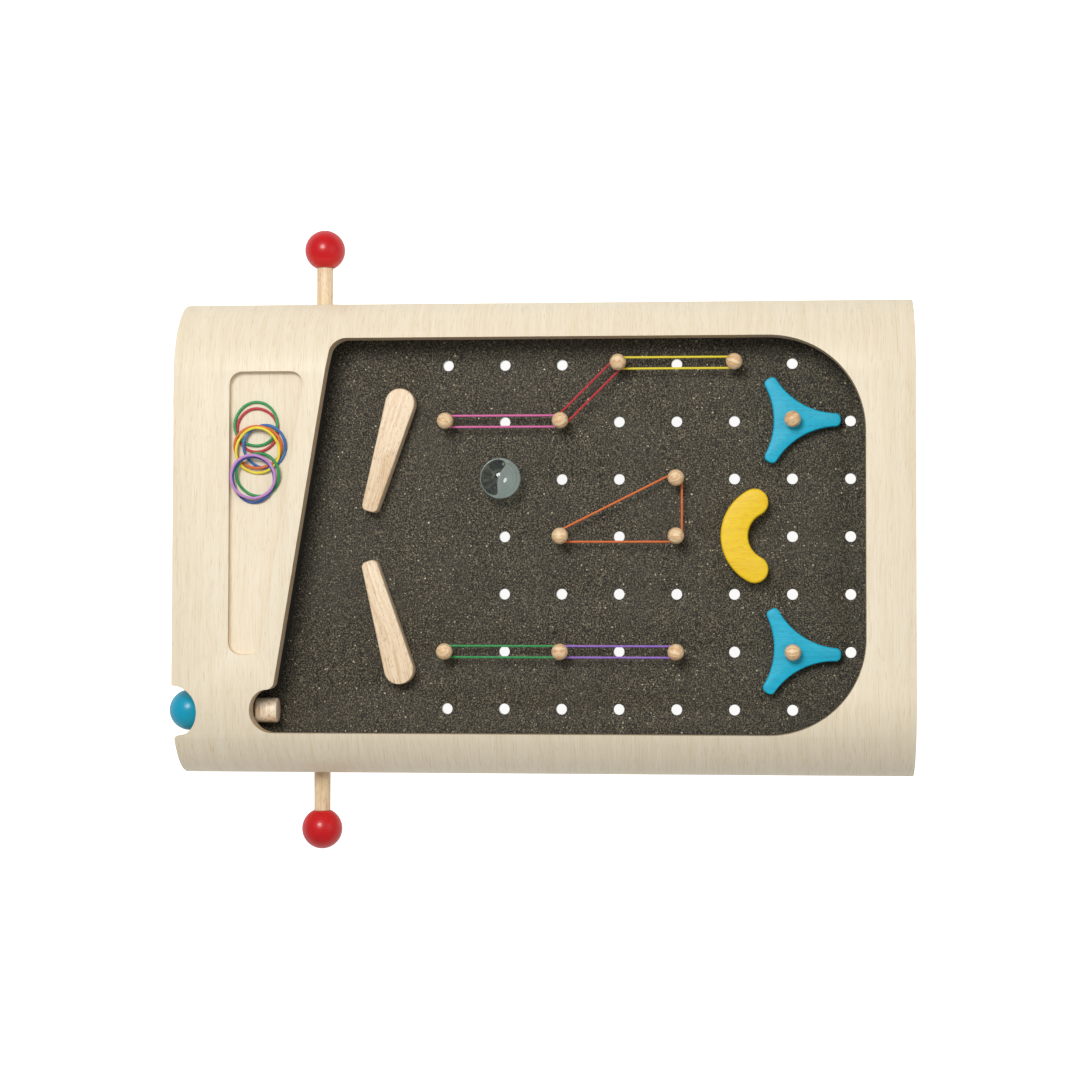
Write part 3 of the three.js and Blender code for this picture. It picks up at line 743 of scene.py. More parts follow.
@made_once
def spring_steel():
    """Hard-drawn steel wire: bright, with faint lengthwise drawing marks that blur its reflection."""
    finish, tree, surface = finish_tree("drawn spring steel", metallic=1.0, roughness=0.3)
    surface.inputs["Base Color"].default_value = tone("C9CBCC")
    place = add(tree, "ShaderNodeTexCoord").outputs["Object"]
    marks = add(
        tree,
        "ShaderNodeTexNoise",
        {"Vector": place, "Scale": 1 / (0.5 * MM), "Detail": 2.0},
    ).outputs["Fac"]
    gloss = add(tree, "ShaderNodeMapRange", {"Value": marks, "To Min": 0.2, "To Max": 0.45})
    tree.links.new(gloss.outputs[0], surface.inputs["Roughness"])
    return finish


@made_once
def clear_glass():
    """A pressed soda-lime marble: clear, smooth, and faintly and unevenly green."""
    finish, tree, surface = finish_tree(
        "clear soda-lime glass", roughness=0.0, ior=1.52, transmission_weight=1.0
    )
    place = add(tree, "ShaderNodeTexCoord").outputs["Object"]
    cloud = add(
        tree,
        "ShaderNodeTexNoise",
        {"Vector": place, "Scale": 1 / (9 * MM), "Detail": 1.0},
    ).outputs["Fac"]
    tint = shaded(tree, tone("EDF8F7"), tone("DBEBEA"), cloud, 0.3, 0.7)
    tree.links.new(tint, surface.inputs["Base Color"])
    # Light passes through a marble, so lamp rays do too, and most in the middle, where it focuses them.
    facing = add(tree, "ShaderNodeLayerWeight", {"Blend": 0.4}).outputs["Facing"]
    focus = shaded(tree, tone("ADB5B3"), tone("505555"), facing, 0.1, 0.8)
    passed = add(tree, "ShaderNodeBsdfTransparent", {"Color": focus})
    lamp_ray = add(tree, "ShaderNodeLightPath").outputs["Is Shadow Ray"]
    seen = add(tree, "ShaderNodeMixShader", {0: lamp_ray, 1: surface.outputs[0], 2: passed.outputs[0]})
    tree.links.new(seen.outputs[0], tree.nodes["Material Output"].inputs["Surface"])
    return finish


@made_once
def bare_core():
    """The board's undyed core, bared by the drill in each hole: pale, matt and fuzzy."""
    finish, tree, surface = finish_tree("pale fibreboard core", roughness=0.85, ior=1.5)
    place = add(tree, "ShaderNodeTexCoord").outputs["Object"]
    fuzz = add(
        tree,
        "ShaderNodeTexNoise",
        {"Vector": place, "Scale": 1 / (0.8 * MM), "Detail": 3.0},
    ).outputs["Fac"]
    tint = shaded(tree, tone("F4F4F1"), tone("DCDAD2"), fuzz, 0.4, 0.7)
    tree.links.new(tint, surface.inputs["Base Color"])
    return finish


@made_once
def dark_board():
    """Near-black fibreboard of the walls under the cover: matt, fuzzy and unspecked."""
    finish, tree, surface = finish_tree("near-black fibreboard", roughness=0.85, ior=1.5)
    place = add(tree, "ShaderNodeTexCoord").outputs["Object"]
    fuzz = add(
        tree,
        "ShaderNodeTexNoise",
        {"Vector": place, "Scale": 1 / (1.1 * MM), "Detail": 4.0, "Roughness": 0.7},
    ).outputs["Fac"]
    tint = shaded(tree, tone("211F1C"), tone("37342E"), fuzz, 0.35, 0.7)
    tree.links.new(tint, surface.inputs["Base Color"])
    bump = add(tree, "ShaderNodeBump", {"Height": fuzz, "Strength": 0.4, "Distance": 0.1 * MM})
    tree.links.new(bump.outputs[0], surface.inputs["Normal"])
    return finish


# ---------------------------------------------------------------- cover

COVER_FRONT, COVER_REAR = -286, 160
FOOT = -86  # well below the table at every place on the slope
SLANT_MIDDLE, SLANT_SLOPE = -209.2, -0.1605  # the window's near edge
WINDOW = SimpleNamespace(side=119.5, far=130.6, far_radius=58, corner_radius=10, nub_radius=5)
POCKET = SimpleNamespace(left=93.1, near=-238.6, radius=13.1)  # where the marble waits for the plunger
TRAY = SimpleNamespace(left=-98.9, right=72.3, near=-251.5, slant_gap=12, radius=8)
NOTCH = SimpleNamespace(radius=15, mouth=3)


def slant(u):
    return SLANT_MIDDLE + SLANT_SLOPE * u


def arched(inset, near, far):
    """A solid with the cover's section, drawn in by an inset, from one place up the slope to another."""
    size = cover_sizes()
    side, top = size.half_width - inset, size.top - inset
    bm = block((2 * side, far - near, top - FOOT), (0, (near + far) / 2, (top + FOOT) / 2))
    corners = []
    for edge in bm.edges:
        run = edge.verts[0].co - edge.verts[1].co
        if all(vert.co.z > FOOT + 1 for vert in edge.verts) and abs(run.x) < 1 < abs(run.y):
            corners.append(edge)
    return bevelled(bm, corners, size.bend - inset, 24, "EDGES")


def under_cover(near, far):
    return arched(cover_sizes().thickness + GAP, near, far)


def window_face():
    return rounded_face(
        [
            (WINDOW.side, POCKET.near, POCKET.radius),
            (WINDOW.side, WINDOW.far, WINDOW.far_radius),
            (-WINDOW.side, WINDOW.far, WINDOW.far_radius),
            (-WINDOW.side, slant(-WINDOW.side), WINDOW.corner_radius),
            (POCKET.left, slant(POCKET.left), WINDOW.nub_radius),
            (POCKET.left, POCKET.near, POCKET.radius),
        ],
        steps=10,
    )


def tray_cutter():
    size = cover_sizes()
    floor = size.top - size.tray_depth
    bm = rounded_face(
        [
            (TRAY.left, TRAY.near, TRAY.radius),
            (TRAY.right, TRAY.near, TRAY.radius),
            (TRAY.right, slant(TRAY.right) - TRAY.slant_gap, TRAY.radius),
            (TRAY.left, slant(TRAY.left) - TRAY.slant_gap, TRAY.radius),
        ],
        steps=10,
    )
    raised(bm, floor, size.top + 5)
    return eased(
        bm, size.tray_fillet, 5, chosen_edges=lambda e: all(abs(v.co.z - floor) < 0.01 for v in e.verts)
    )


def notch_face():
    """A half-round notch that lets the fingers reach the plunger's knob."""
    u = centre("plunger_knob").x
    reach = NOTCH.radius + NOTCH.mouth + 3
    return rounded_face(
        [
            (u + reach, COVER_FRONT - 6, 0),
            (u + reach, COVER_FRONT, 0),
            (u + NOTCH.radius, COVER_FRONT, NOTCH.mouth),
            (u + NOTCH.radius, COVER_FRONT + NOTCH.radius, NOTCH.radius - 0.1),
            (u - NOTCH.radius, COVER_FRONT + NOTCH.radius, NOTCH.radius - 0.1),
            (u - NOTCH.radius, COVER_FRONT, NOTCH.mouth),
            (u - reach, COVER_FRONT, 0),
            (u - reach, COVER_FRONT - 6, 0),
        ],
        steps=12,
    )


def laminate_place(co):
    """A deck place as (along the face grain round the bend, up the slope, depth below the cover's face)."""
    size = cover_sizes()
    bend_u, bend_w = size.half_width - size.bend, size.top - size.bend
    out, up = abs(co.x) - bend_u, co.z - bend_w
    middle_bend = size.bend - size.thickness / 2
    if out <= 0:
        run, depth = abs(co.x), size.top - co.z
    elif up <= 0:
        run, depth = bend_u + middle_bend * math.pi / 2 - up, size.half_width - abs(co.x)
    else:
        run = bend_u + middle_bend * math.atan2(out, up)
        depth = size.bend - math.hypot(out, up)
    return Vector((math.copysign(run, co.x), co.y, min(max(depth, 0.02), size.thickness - 0.02)))


def follow_bends(bm):
    """Cuts the end faces where the bends start and along radii, so that the veneers follow the bends."""
    size = cover_sizes()
    bend_u, bend_w = size.half_width - size.bend, size.top - size.bend

    def cut(place, normal, inside=lambda middle: True):
        faces = [f for f in bm.faces if inside(f.calc_center_median())]
        edges = {e for f in faces for e in f.edges}
        verts = {v for f in faces for v in f.verts}
        geometry = [*verts, *edges, *faces]
        bmesh.ops.bisect_plane(bm, geom=geometry, plane_co=place, plane_no=normal, dist=0.01)

    cut(W * bend_w, W)
    for side in (-1, 1):
        cut(U * side * bend_u, U)
    for side in (-1, 1):
        for step in range(1, 12):
            angle = math.radians(90 / 12 * step)
            cut(
                Vector((side * bend_u, 0, bend_w)),
                Vector((side * math.sin(angle), 0, -math.cos(angle))),
                lambda middle: middle.x * side > bend_u and middle.z > bend_w,
            )


class PINBALL_OT_cover(bpy.types.Operator):
    """Bend the plywood cover and cut its window, tray and notch"""

    bl_idname = "pinball.cover"
    bl_label = "Cover"

    def execute(self, context):
        size = cover_sizes()
        rods = centre("left_push_rod")
        groove = block(
            (2 * (BOARD_HALF + GAP), COVER_REAR - BOARD_NEAR + 10, BOARD_THICKNESS + 2 * GAP),
            (0, (COVER_REAR + BOARD_NEAR + 10) / 2 - GAP, -BOARD_THICKNESS / 2),
        )
        shell = carved(
            arched(0, COVER_FRONT, COVER_REAR),
            arched(size.thickness, COVER_FRONT - 5, COVER_REAR + 5),
            raised(window_face(), -20, size.top + 5),
            tray_cutter(),
            raised(notch_face(), 0, size.top + 5),
            groove,
            laid(bar(PUSH_ROD_HOLE, -160, 160, steps=40), U, (0, rods.y, rods.z)),
        )
        above_table(shell, 0)
        eased(shell, size.rounding, 4, sharp=48)
        follow_bends(shell)
        placed("cover", shell, birch_plywood(), "root", grain=laminate_place, sharp=30)
        return {"FINISHED"}


# ---------------------------------------------------------------- playfield and the walls around it


def hole_places():
    for row, (first, last) in enumerate(HOLE_ROWS):
        for column in range(first, last + 1):
            yield Vector(((row - 3) * PITCH, (column - 3.5) * PITCH, 0))


class PINBALL_OT_playfield(bpy.types.Operator):
    """Make the perforated playfield"""

    bl_idname = "pinball.playfield"
    bl_label = "Playfield"

    def execute(self, context):
        size = piece_sizes()
        bm = bmesh.new()
        corners = [
            (-BOARD_HALF, BOARD_NEAR),
            (BOARD_HALF, BOARD_NEAR),
            (BOARD_HALF, BOARD_FAR),
            (-BOARD_HALF, BOARD_FAR),
        ]
        verts = [bm.verts.new((u, v, 0)) for u, v in corners]
        for k in range(4):
            bm.edges.new((verts[k - 1], verts[k]))
        for place in hole_places():
            bmesh.ops.create_circle(bm, segments=24, radius=size.hole, matrix=Matrix.Translation(place))
        for side in ("left", "right"):
            shaft = centre(f"{side}_flipper_shaft")
            shaft.z = 0
            bmesh.ops.create_circle(bm, segments=24, radius=SHAFT_HOLE, matrix=Matrix.Translation(shaft))
        bmesh.ops.triangle_fill(bm, edges=bm.edges[:], use_beauty=True, use_dissolve=False)
        raised(bm, -BOARD_THICKNESS, 0)
        eased(bm, size.hole_chamfer, 2, sharp=60)
        board = placed("playfield", bm, speckled_board(), "root")
        board.data.materials.append(bare_core())
        holes = list(hole_places())
        upright = (DECK.to_3x3() @ W).normalized()
        for face in board.data.polygons:
            middle = (TO_DECK @ face.center) * Vector((1, 1, 0))
            off_axis = min((middle - hole).length for hole in holes)
            if abs(face.normal.dot(upright)) < 0.3 and off_axis < size.hole + 0.2:
                face.material_index = 1
        return {"FINISHED"}


ROD_RADIUS = 3  # of the plunger's rod
PANEL = SimpleNamespace(
    front=-266.9, rear=144.7, thickness=10, seat_radius=6, seat=4, off_table=1.5, rounding=0.8
)


class PINBALL_OT_panels(bpy.types.Operator):
    """Make the panels that close the cover's ends"""

    bl_idname = "pinball.panels"
    bl_label = "End Panels"

    def execute(self, context):
        knob = centre("plunger_knob")
        axis = (knob.x, 0, knob.z)
        for index, (name, near) in enumerate((("front_panel", PANEL.front), ("rear_panel", PANEL.rear))):
            panel = under_cover(near, near + PANEL.thickness)
            if name == "front_panel":
                rod_hole = laid(bar(ROD_RADIUS + GAP, near - 5, near + 20), V, axis)
                spring_seat = laid(bar(PANEL.seat_radius, near + PANEL.seat, near + 20), V, axis)
                panel = carved(panel, rod_hole, spring_seat)
            above_table(panel, PANEL.off_table)
            eased(panel, PANEL.rounding, 2, sharp=60)
            placed(name, panel, rail_wood(), "root", grain=along(U, scatter(index + 1)))
        return {"FINISHED"}


WALL = SimpleNamespace(set_back=1.5, guide=7, rim=6, rim_near=40)  # set back under the window's edge


class PINBALL_OT_walls(bpy.types.Operator):
    """Make the marble's guide at the near end and the bent wall at the far end"""

    bl_idname = "pinball.walls"
    bl_label = "Guide and Far Rim"

    def execute(self, context):
        top = cover_sizes().top
        lane, left = POCKET.left - WALL.set_back, -BOARD_HALF
        inner, outer = lane - WALL.guide, WALL.set_back + WALL.guide
        guide = rounded_face(
            [
                (left, slant(left) - WALL.set_back, 0),
                (lane, slant(lane) - WALL.set_back, 0),
                (lane, BOARD_NEAR, 0),
                (inner, BOARD_NEAR, 0),
                (inner, slant(inner) - outer, 0),
                (left, slant(left) - outer, 0),
            ]
        )
        walls = []
        for thickness, near in ((WALL.rim, WALL.rim_near), (0, WALL.rim_near - 10)):
            set_back = WALL.set_back + thickness
            side, far, radius = WINDOW.side + set_back, WINDOW.far + set_back, WINDOW.far_radius + set_back
            corners = [(side, near, 0), (side, far, radius), (-side, far, radius), (-side, near, 0)]
            walls.append(rounded_face(corners))
        rim = carved(raised(walls[0], GAP, top), raised(walls[1], GAP - 5, top + 5))
        for name, wall in (("marble_guide", raised(guide, GAP, top)), ("far_rim", rim)):
            wall = carved(wall, under_cover(COVER_FRONT, COVER_REAR), operation="INTERSECT")
            placed(name, eased(wall, 0.5, 2, sharp=60), dark_board(), "root")
        return {"FINISHED"}


# ---------------------------------------------------------------- plunger

BALL_RADIUS, BORE_DEPTH = 12.5, 3.7  # of the three knobs; their bores end that far from the ball's centre
SPRING_WIRE = 0.9


class PINBALL_OT_plunger(bpy.types.Operator):
    """Make the plunger's knob, rod, head and spring"""

    bl_idname = "pinball.plunger"
    bl_label = "Plunger"

    def execute(self, context):
        knob = ball_centre("plunger_knob", -V)
        rod, head = deck_box("plunger_rod"), deck_box("plunger_head")
        axis, body = (knob.x, 0, knob.z), "plunger"
        ball = laid(drilled_ball(BALL_RADIUS, ROD_RADIUS + GAP, BORE_DEPTH), -V, knob)
        placed("plunger_knob", ball, gloss_paint("plunger_knob", "087FA6"), body)
        stick = laid(bar(ROD_RADIUS, rod[0].y, rod[1].y), V, axis)
        placed("plunger_rod", stick, dowel_wood(), body, grain=along(V, scatter(3)))
        socket = rod[1].y + GAP
        pusher = turned(
            [
                (0, socket),
                (ROD_RADIUS + GAP, socket),
                *arc(0.5, 180, 270, 2, 3.8, head[0].y + 0.5),
                *arc(0.7, -90, 0, 3, 6.8, head[0].y + 0.7),
                *arc(0.9, 0, 90, 4, 6.6, head[1].y - 0.9),
                (0, head[1].y),
            ]
        )
        grain = along(U, scatter(4))
        # the head's near-white ground is painted light, against the shade of the cover's pocket
        placed("plunger_head", laid(pusher, V, axis), pusher_maple_with_painted_light(), body, grain=grain)
        low, high = deck_box("plunger_spring")
        coil = coiled(4.4, SPRING_WIRE, 6, high.y - low.y - SPRING_WIRE)
        laid(coil, V, (knob.x, low.y + SPRING_WIRE / 2, knob.z))
        spring = placed("plunger_spring", coil, spring_steel(), body)
        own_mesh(spring)
        return {"FINISHED"}


# ---------------------------------------------------------------- flippers and their push rods

FLIPPER_AIM = Vector((21, -167.8, 0))  # of the right blade's middle line
FLIPPER_LENGTH, TIP_OFFSET = 65.1, 1.6  # from the shaft to the tip's corners, and they from the middle line
SHAFT_RADIUS, PUSH_ROD_RADIUS, PIN_RADIUS = 4, 5, 2
CRANK = SimpleNamespace(hub=9, end=7, slot=2.7, slot_run=3.8)
PUSH_SIDES = {"left": -1, "right": 1}
PUSH_LINE = centre("left_push_rod")


class PINBALL_OT_flippers(bpy.types.Operator):
    """Make both flippers with their shafts and cranks"""

    bl_idname = "pinball.flippers"
    bl_label = "Flippers"

    def execute(self, context):
        size = piece_sizes()
        for name, side in PUSH_SIDES.items():
            body = f"{name}_flipper"
            pivot, blade = centre(f"{name}_flipper_shaft"), deck_box(body)
            pivot.z = 0
            run = (Vector((side * FLIPPER_AIM.x, FLIPPER_AIM.y, 0)) - pivot).normalized()
            tip = pivot + run * FLIPPER_LENGTH
            corners = [tip + run.cross(W) * offset for offset in (-TIP_OFFSET, TIP_OFFSET)]
            face = belt_face(
                [(pivot.x, pivot.y, size.flipper_wide)] + [(c.x, c.y, size.flipper_corner) for c in corners]
            )
            flipper = eased(raised(face, blade[0].z, blade[1].z), size.flipper_rounding, 4, sharp=60)
            flipper = carved(flipper, laid(bar(SHAFT_RADIUS + GAP, -5, 8.8), W, pivot))
            placed(body, flipper, maple(), body, grain=along(run, scatter(7 + side)))
            low, high = deck_box(f"{name}_flipper_shaft")
            shaft = laid(bar(SHAFT_RADIUS, low.z, high.z), W, pivot)
            grain = along(W, scatter(10 + side))
            placed(f"{name}_flipper_shaft", shaft, dowel_wood(), body, grain=grain)
            low, high = deck_box(f"{name}_crank")
            arm = belt_face([(pivot.x, pivot.y, CRANK.hub), (pivot.x, low.y + CRANK.end, CRANK.end)])
            ends = [(pivot.x, PUSH_LINE.y - back, CRANK.slot) for back in (0, CRANK.slot_run)]
            slot = belt_face(ends, 48)
            crank = carved(
                eased(raised(arm, low.z, high.z), 0.6, 2, sharp=60),
                laid(bar(SHAFT_RADIUS + GAP, low.z - 5, high.z + 5), W, pivot),
                raised(slot, low.z - 5, high.z + 5),
            )
            grain = along(V, scatter(13 + side))
            placed(f"{name}_crank", crank, dowel_wood(), body, grain=grain)
        return {"FINISHED"}


def across(node):
    """The nearest and the farthest that a node comes to the middle line."""
    low, high = deck_box(node)
    return sorted((abs(low.x), abs(high.x)))


class PINBALL_OT_push_rods(bpy.types.Operator):
    """Make both push rods with their knobs, collars, springs, pins and guides"""

    bl_idname = "pinball.push_rods"
    bl_label = "Push Rods"

    def execute(self, context):
        for name, side in PUSH_SIDES.items():
            body = f"{name}_push_rod"
            outward = U * side
            line = (0, PUSH_LINE.y, PUSH_LINE.z)
            rod = bar(PUSH_ROD_RADIUS, *across(body), 0.8)
            grain = along(U, scatter(20 + side))
            placed(body, laid(rod, outward, line), dowel_wood(), body, grain=grain)
            knob = drilled_ball(BALL_RADIUS, PUSH_ROD_RADIUS + GAP, -BORE_DEPTH)
            laid(knob, outward, ball_centre(f"{name}_push_knob", outward))
            placed(f"{name}_push_knob", knob, gloss_paint("side_knobs", "A30B14"), body)
            inner, outer = across(f"{name}_stop_collar")
            collar = laid(tube(PUSH_ROD_RADIUS + GAP, 8.5, inner, outer, 0.6), outward, line)
            grain = along(U, scatter(23 + side))
            placed(f"{name}_stop_collar", collar, maple(), body, grain=grain)
            low, high = deck_box(f"{name}_link_pin")
            middle = (low + high) / 2
            pin = laid(bar(PIN_RADIUS, low.z, high.z, 0.3, 24), W, (middle.x, middle.y, 0))
            placed(f"{name}_link_pin", pin, spring_steel(), body)
            low, high = deck_box(f"{name}_rod_guide")
            guide = carved(
                eased(block(high - low, (low + high) / 2), 0.8, 2, sharp=60),
                laid(bar(PUSH_ROD_RADIUS + GAP, 60, 150, steps=40), outward, line),
            )
            grain = along(V, scatter(26 + side))
            placed(f"{name}_rod_guide", guide, rail_wood(), "root", grain=grain)
            inner, outer = across(f"{name}_return_spring")
            coil = coiled(6.3, SPRING_WIRE, 8, outer - inner - SPRING_WIRE)
            laid(coil, outward, (side * (inner + SPRING_WIRE / 2), PUSH_LINE.y, PUSH_LINE.z))
            spring = placed(f"{name}_return_spring", coil, spring_steel(), body)
            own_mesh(spring)
        return {"FINISHED"}


# ---------------------------------------------------------------- pegs and what they hold


PEG_NECK = 2.6


def peg_profile():
    """From the plug's tip in the hole, over the shoulder and the neck, to the round head."""
    plug, neck, shoulder, bottom, head, head_height = 3.1, PEG_NECK, -1, -8.2, 5, 15
    start = -math.degrees(math.acos(neck / head))
    return [
        (0, bottom),
        *arc(0.6, -90, 0, 3, plug - 0.6, bottom + 0.6),
        (plug, shoulder - 0.5),
        (neck, shoulder),
        *arc(head, start, 90, 18, 0, head_height)[:-1],
        (0, head_height + head),
    ]


class PINBALL_OT_pegs(bpy.types.Operator):
    """Turn the pegs with round heads"""

    bl_idname = "pinball.pegs"
    bl_label = "Pegs"

    def execute(self, context):
        for index in range(1, PEG_COUNT + 1):
            name = f"peg_{index:02d}"
            place = centre(name)
            place.z = 0
            turn = 0.35 * math.sin(2.1 * index)  # so that no two heads show the same stripes
            grain = along(Vector((math.sin(turn), math.cos(turn), 0.12)), scatter(30 + index))
            peg = laid(turned(peg_profile()), W, place)
            placed(name, peg, turned_maple(), name, grain=grain)
        return {"FINISHED"}


class PINBALL_OT_stretched_bands(bpy.types.Operator):
    """Stretch the rubber bands around their pegs"""

    bl_idname = "pinball.stretched_bands"
    bl_label = "Stretched Bands"

    def execute(self, context):
        wire = piece_sizes().band
        around = PEG_NECK + GAP / 2 + wire / 2
        for name, pegs in BANDS.items():
            places = [centre(f"peg_{index:02d}") for index in pegs]
            height = centre(f"band_{name}").z
            band = belt(hoop(1, wire, 96), [(place.x, place.y, around) for place in places])
            bmesh.ops.translate(band, verts=band.verts, vec=W * height)
            placed(f"band_{name}", band, rubber(name), "root")
        return {"FINISHED"}


class PINBALL_OT_stars(bpy.types.Operator):
    """Saw and sand the two three-armed stars"""

    bl_idname = "pinball.stars"
    bl_label = "Stars"

    def execute(self, context):
        size = piece_sizes()
        reach, tip, waist, tip_radius = 29, 4, 11.3, 3.2
        for index, (name, turn) in enumerate((("left", 0), ("right", -3))):  # degrees
            place = centre(f"peg_{11 + index:02d}")
            low, high = deck_box(f"{name}_star")
            bm = bmesh.new()
            corners = []
            for arm in range(3):
                spin = Matrix.Rotation(math.radians(90 + 120 * arm), 3, "Z")
                corners += [
                    bm.verts.new(spin @ Vector((reach - back, side * tip, 0)))
                    for back, side in ((tip_radius, -1), (0, -1), (0, 1), (tip_radius, 1))
                ]
            bm.faces.new(corners)
            shoulder = Vector((reach - tip_radius, tip))
            out = Vector((0.5, math.sqrt(0.75)))
            hollow = (shoulder.length_squared - waist**2) / (2 * (shoulder.dot(out) - waist))
            tips = [v for k, v in enumerate(corners) if k % 4 in (1, 2)]
            bevelled(bm, tips, 0.98 * tip_radius, 6, "VERTICES")  # 0.98 keeps the bevels off each other
            flanks = [e for e in bm.edges if e.calc_length() > reach]
            bmesh.ops.subdivide_edges(bm, edges=flanks, cuts=23, use_grid_fill=False)
            for arm in range(3):
                spin = Matrix.Rotation(math.radians(150 + 120 * arm), 3, "Z")
                middle = spin @ Vector((hollow, 0, 0))
                for vert in bm.verts:
                    away = vert.co - middle
                    if away.length < hollow - waist:
                        vert.co = middle + away.normalized() * (hollow - waist)
            raised(bm, low.z, high.z)
            eased(bm, size.star_rounding, 3, sharp=60)
            star = carved(bm, bar(3.4, low.z - 5, high.z + 5, steps=40))
            spin = Matrix.Translation((place.x, place.y, 0)) @ Matrix.Rotation(math.radians(turn), 4, "Z")
            bmesh.ops.transform(star, matrix=spin, verts=star.verts)
            body, finish = f"{name}_star", stained_wood("stars", "0E8CB0", "3CC2DC")
            placed(body, star, finish, body, grain=along(V, scatter(50 + index)))
        return {"FINISHED"}


class PINBALL_OT_bean(bpy.types.Operator):
    """Saw and sand the bean and its dowel"""

    bl_idname = "pinball.bean"
    bl_label = "Bean"

    def execute(self, context):
        size = piece_sizes()
        bend, half_width, reach = 22.8, 8.25, math.radians(62.4)
        low, high = deck_box("bean")
        dowel_low, dowel_high = deck_box("bean_dowel")
        pivot = centre("bean_dowel")
        middle = Vector((pivot.x, pivot.y + bend, 0))
        bm = bmesh.new()
        spin = Matrix.Rotation(-reach, 3, "Z")
        section = [Vector((0, step - bend, 0)) for step in (-half_width, 0, half_width)]
        verts = [bm.verts.new(middle + spin @ place) for place in section]
        edges = [bm.edges.new(pair) for pair in zip(verts, verts[1:])]
        made = bmesh.ops.spin(bm, geom=verts + edges, cent=middle, axis=W, angle=2 * reach, steps=36)
        last = [g for g in made["geom_last"] if isinstance(g, bmesh.types.BMEdge)]
        for ends, sense in ((edges, -1), (last, 1)):
            shared = (set(ends[0].verts) & set(ends[1].verts)).pop()
            outer = max(ends, key=lambda e: sum((v.co - middle).length for v in e.verts))
            bmesh.ops.spin(
                bm,
                geom=[outer, *outer.verts],
                cent=shared.co,
                axis=W,
                angle=sense * math.pi,
                steps=18,
            )
        bmesh.ops.remove_doubles(bm, verts=bm.verts, dist=0.01)
        bmesh.ops.recalc_face_normals(bm, faces=bm.faces)
        raised(bm, low.z, high.z)
        eased(bm, size.bean_rounding, 4, sharp=60)
        bean = carved(bm, laid(bar(3.4, low.z - 5, dowel_high.z + GAP), W, (pivot.x, pivot.y, 0)))
        placed(
            "bean",
            bean,
            stained_wood("bean", "E0A80E", "FCE463"),
            "bean",
            grain=along(V, scatter(60)),
        )
        placed(
            "bean_dowel",
            laid(bar(3.1, dowel_low.z, dowel_high.z), W, (pivot.x, pivot.y, 0)),
            dowel_wood(),
            "bean",
            grain=along(W, scatter(61)),
        )
        return {"FINISHED"}


# ---------------------------------------------------------------- loose pieces


OFF_HOLE = -1.4  # how far the marble leans over the rim of the hole that it rests on


class PINBALL_OT_marble(bpy.types.Operator):
    """Press the glass marble"""

    bl_idname = "pinball.marble"
    bl_label = "Marble"

    def execute(self, context):
        low, high = deck_box("marble")
        bm = bmesh.new()
        bmesh.ops.create_icosphere(bm, subdivisions=6, radius=(high.z - low.z) / 2)
        bmesh.ops.translate(bm, verts=bm.verts, vec=(low + high) / 2 + V * OFF_HOLE)
        placed("marble", bm, clear_glass(), "marble")
        return {"FINISHED"}


ROUND = 10  # radius at which a loose band is made, before it takes its oval
RING_STEPS = 96  # around a loose band
SPRING_BACK = 0.016  # how fast a band comes down from a crossing, per square of the way from it


def draped(rings, wire, floor):
    """Heights of each ring's middle around its oval. A ring rests on the floor and on the rings below it,
    and springs back down to the floor on both sides of each crossing."""
    heights = []
    for order, ring in enumerate(rings):
        base = [floor + wire / 2] * RING_STEPS
        contact = []
        for k in range(RING_STEPS):
            here = ring(2 * math.pi * k / RING_STEPS)
            lowest = floor + wire / 2
            for below, under in zip(rings[:order], heights):
                gap, height = min(
                    ((below(2 * math.pi * j / RING_STEPS) - here).length, under[j])
                    for j in range(RING_STEPS)
                )
                if gap < wire:
                    lowest = max(lowest, height + math.sqrt(max(wire**2 - gap**2, 0)))
            contact.append(lowest)
        radius = (ring(0) - ring(math.pi)).length / 2
        for k in range(RING_STEPS):
            for j in range(RING_STEPS):
                apart = abs(k - j)
                run = 2 * math.pi * radius * min(apart, RING_STEPS - apart) / RING_STEPS
                base[k] = max(base[k], contact[j] - SPRING_BACK * run**2)
        heights.append(base)
    return heights


class PINBALL_OT_loose_bands(bpy.types.Operator):
    """Drop the loose rubber bands into the tray"""

    bl_idname = "pinball.loose_bands"
    bl_label = "Loose Bands"

    def execute(self, context):
        cover, wire = cover_sizes(), piece_sizes().loose_band
        floor = cover.top - cover.tray_depth
        rings = []
        for index, name in enumerate(LOOSE_BANDS):
            place = centre(f"ring_{name}")
            low, high = deck_box(f"ring_{name}")
            half = (high - low - Vector((wire, wire, 0))) / 2

            def ring(angle, index=index, place=place, half=half):
                wobble = 1 - 0.012 * (1 + math.sin(3 * angle + 1.9 * index))
                return Vector(
                    (
                        place.x + half.x * wobble * math.cos(angle),
                        place.y + half.y * wobble * math.sin(angle),
                    )
                )

            rings.append(ring)
        for name, ring, heights in zip(LOOSE_BANDS, rings, draped(rings, wire, floor + 0.05)):
            bm = hoop(ROUND, wire, RING_STEPS, 10)
            for vert in bm.verts:
                angle = math.atan2(vert.co.y, vert.co.x) % (2 * math.pi)
                out = Vector((math.cos(angle), math.sin(angle))) * (Vector(vert.co.xy).length - ROUND)
                step = round(angle / (2 * math.pi) * RING_STEPS) % RING_STEPS
                at = ring(angle) + out
                vert.co = Vector((at.x, at.y, heights[step] + vert.co.z))
            tint = name.rstrip("_12")
            finish = rubber("lilac" if tint == "pink" else tint)  # an older, faded band
            placed(f"ring_{name}", bm, finish, "loose_bands")
        return {"FINISHED"}


PLUG = SimpleNamespace(radius=3, depth=6, proud=0.12, height=-20.5)


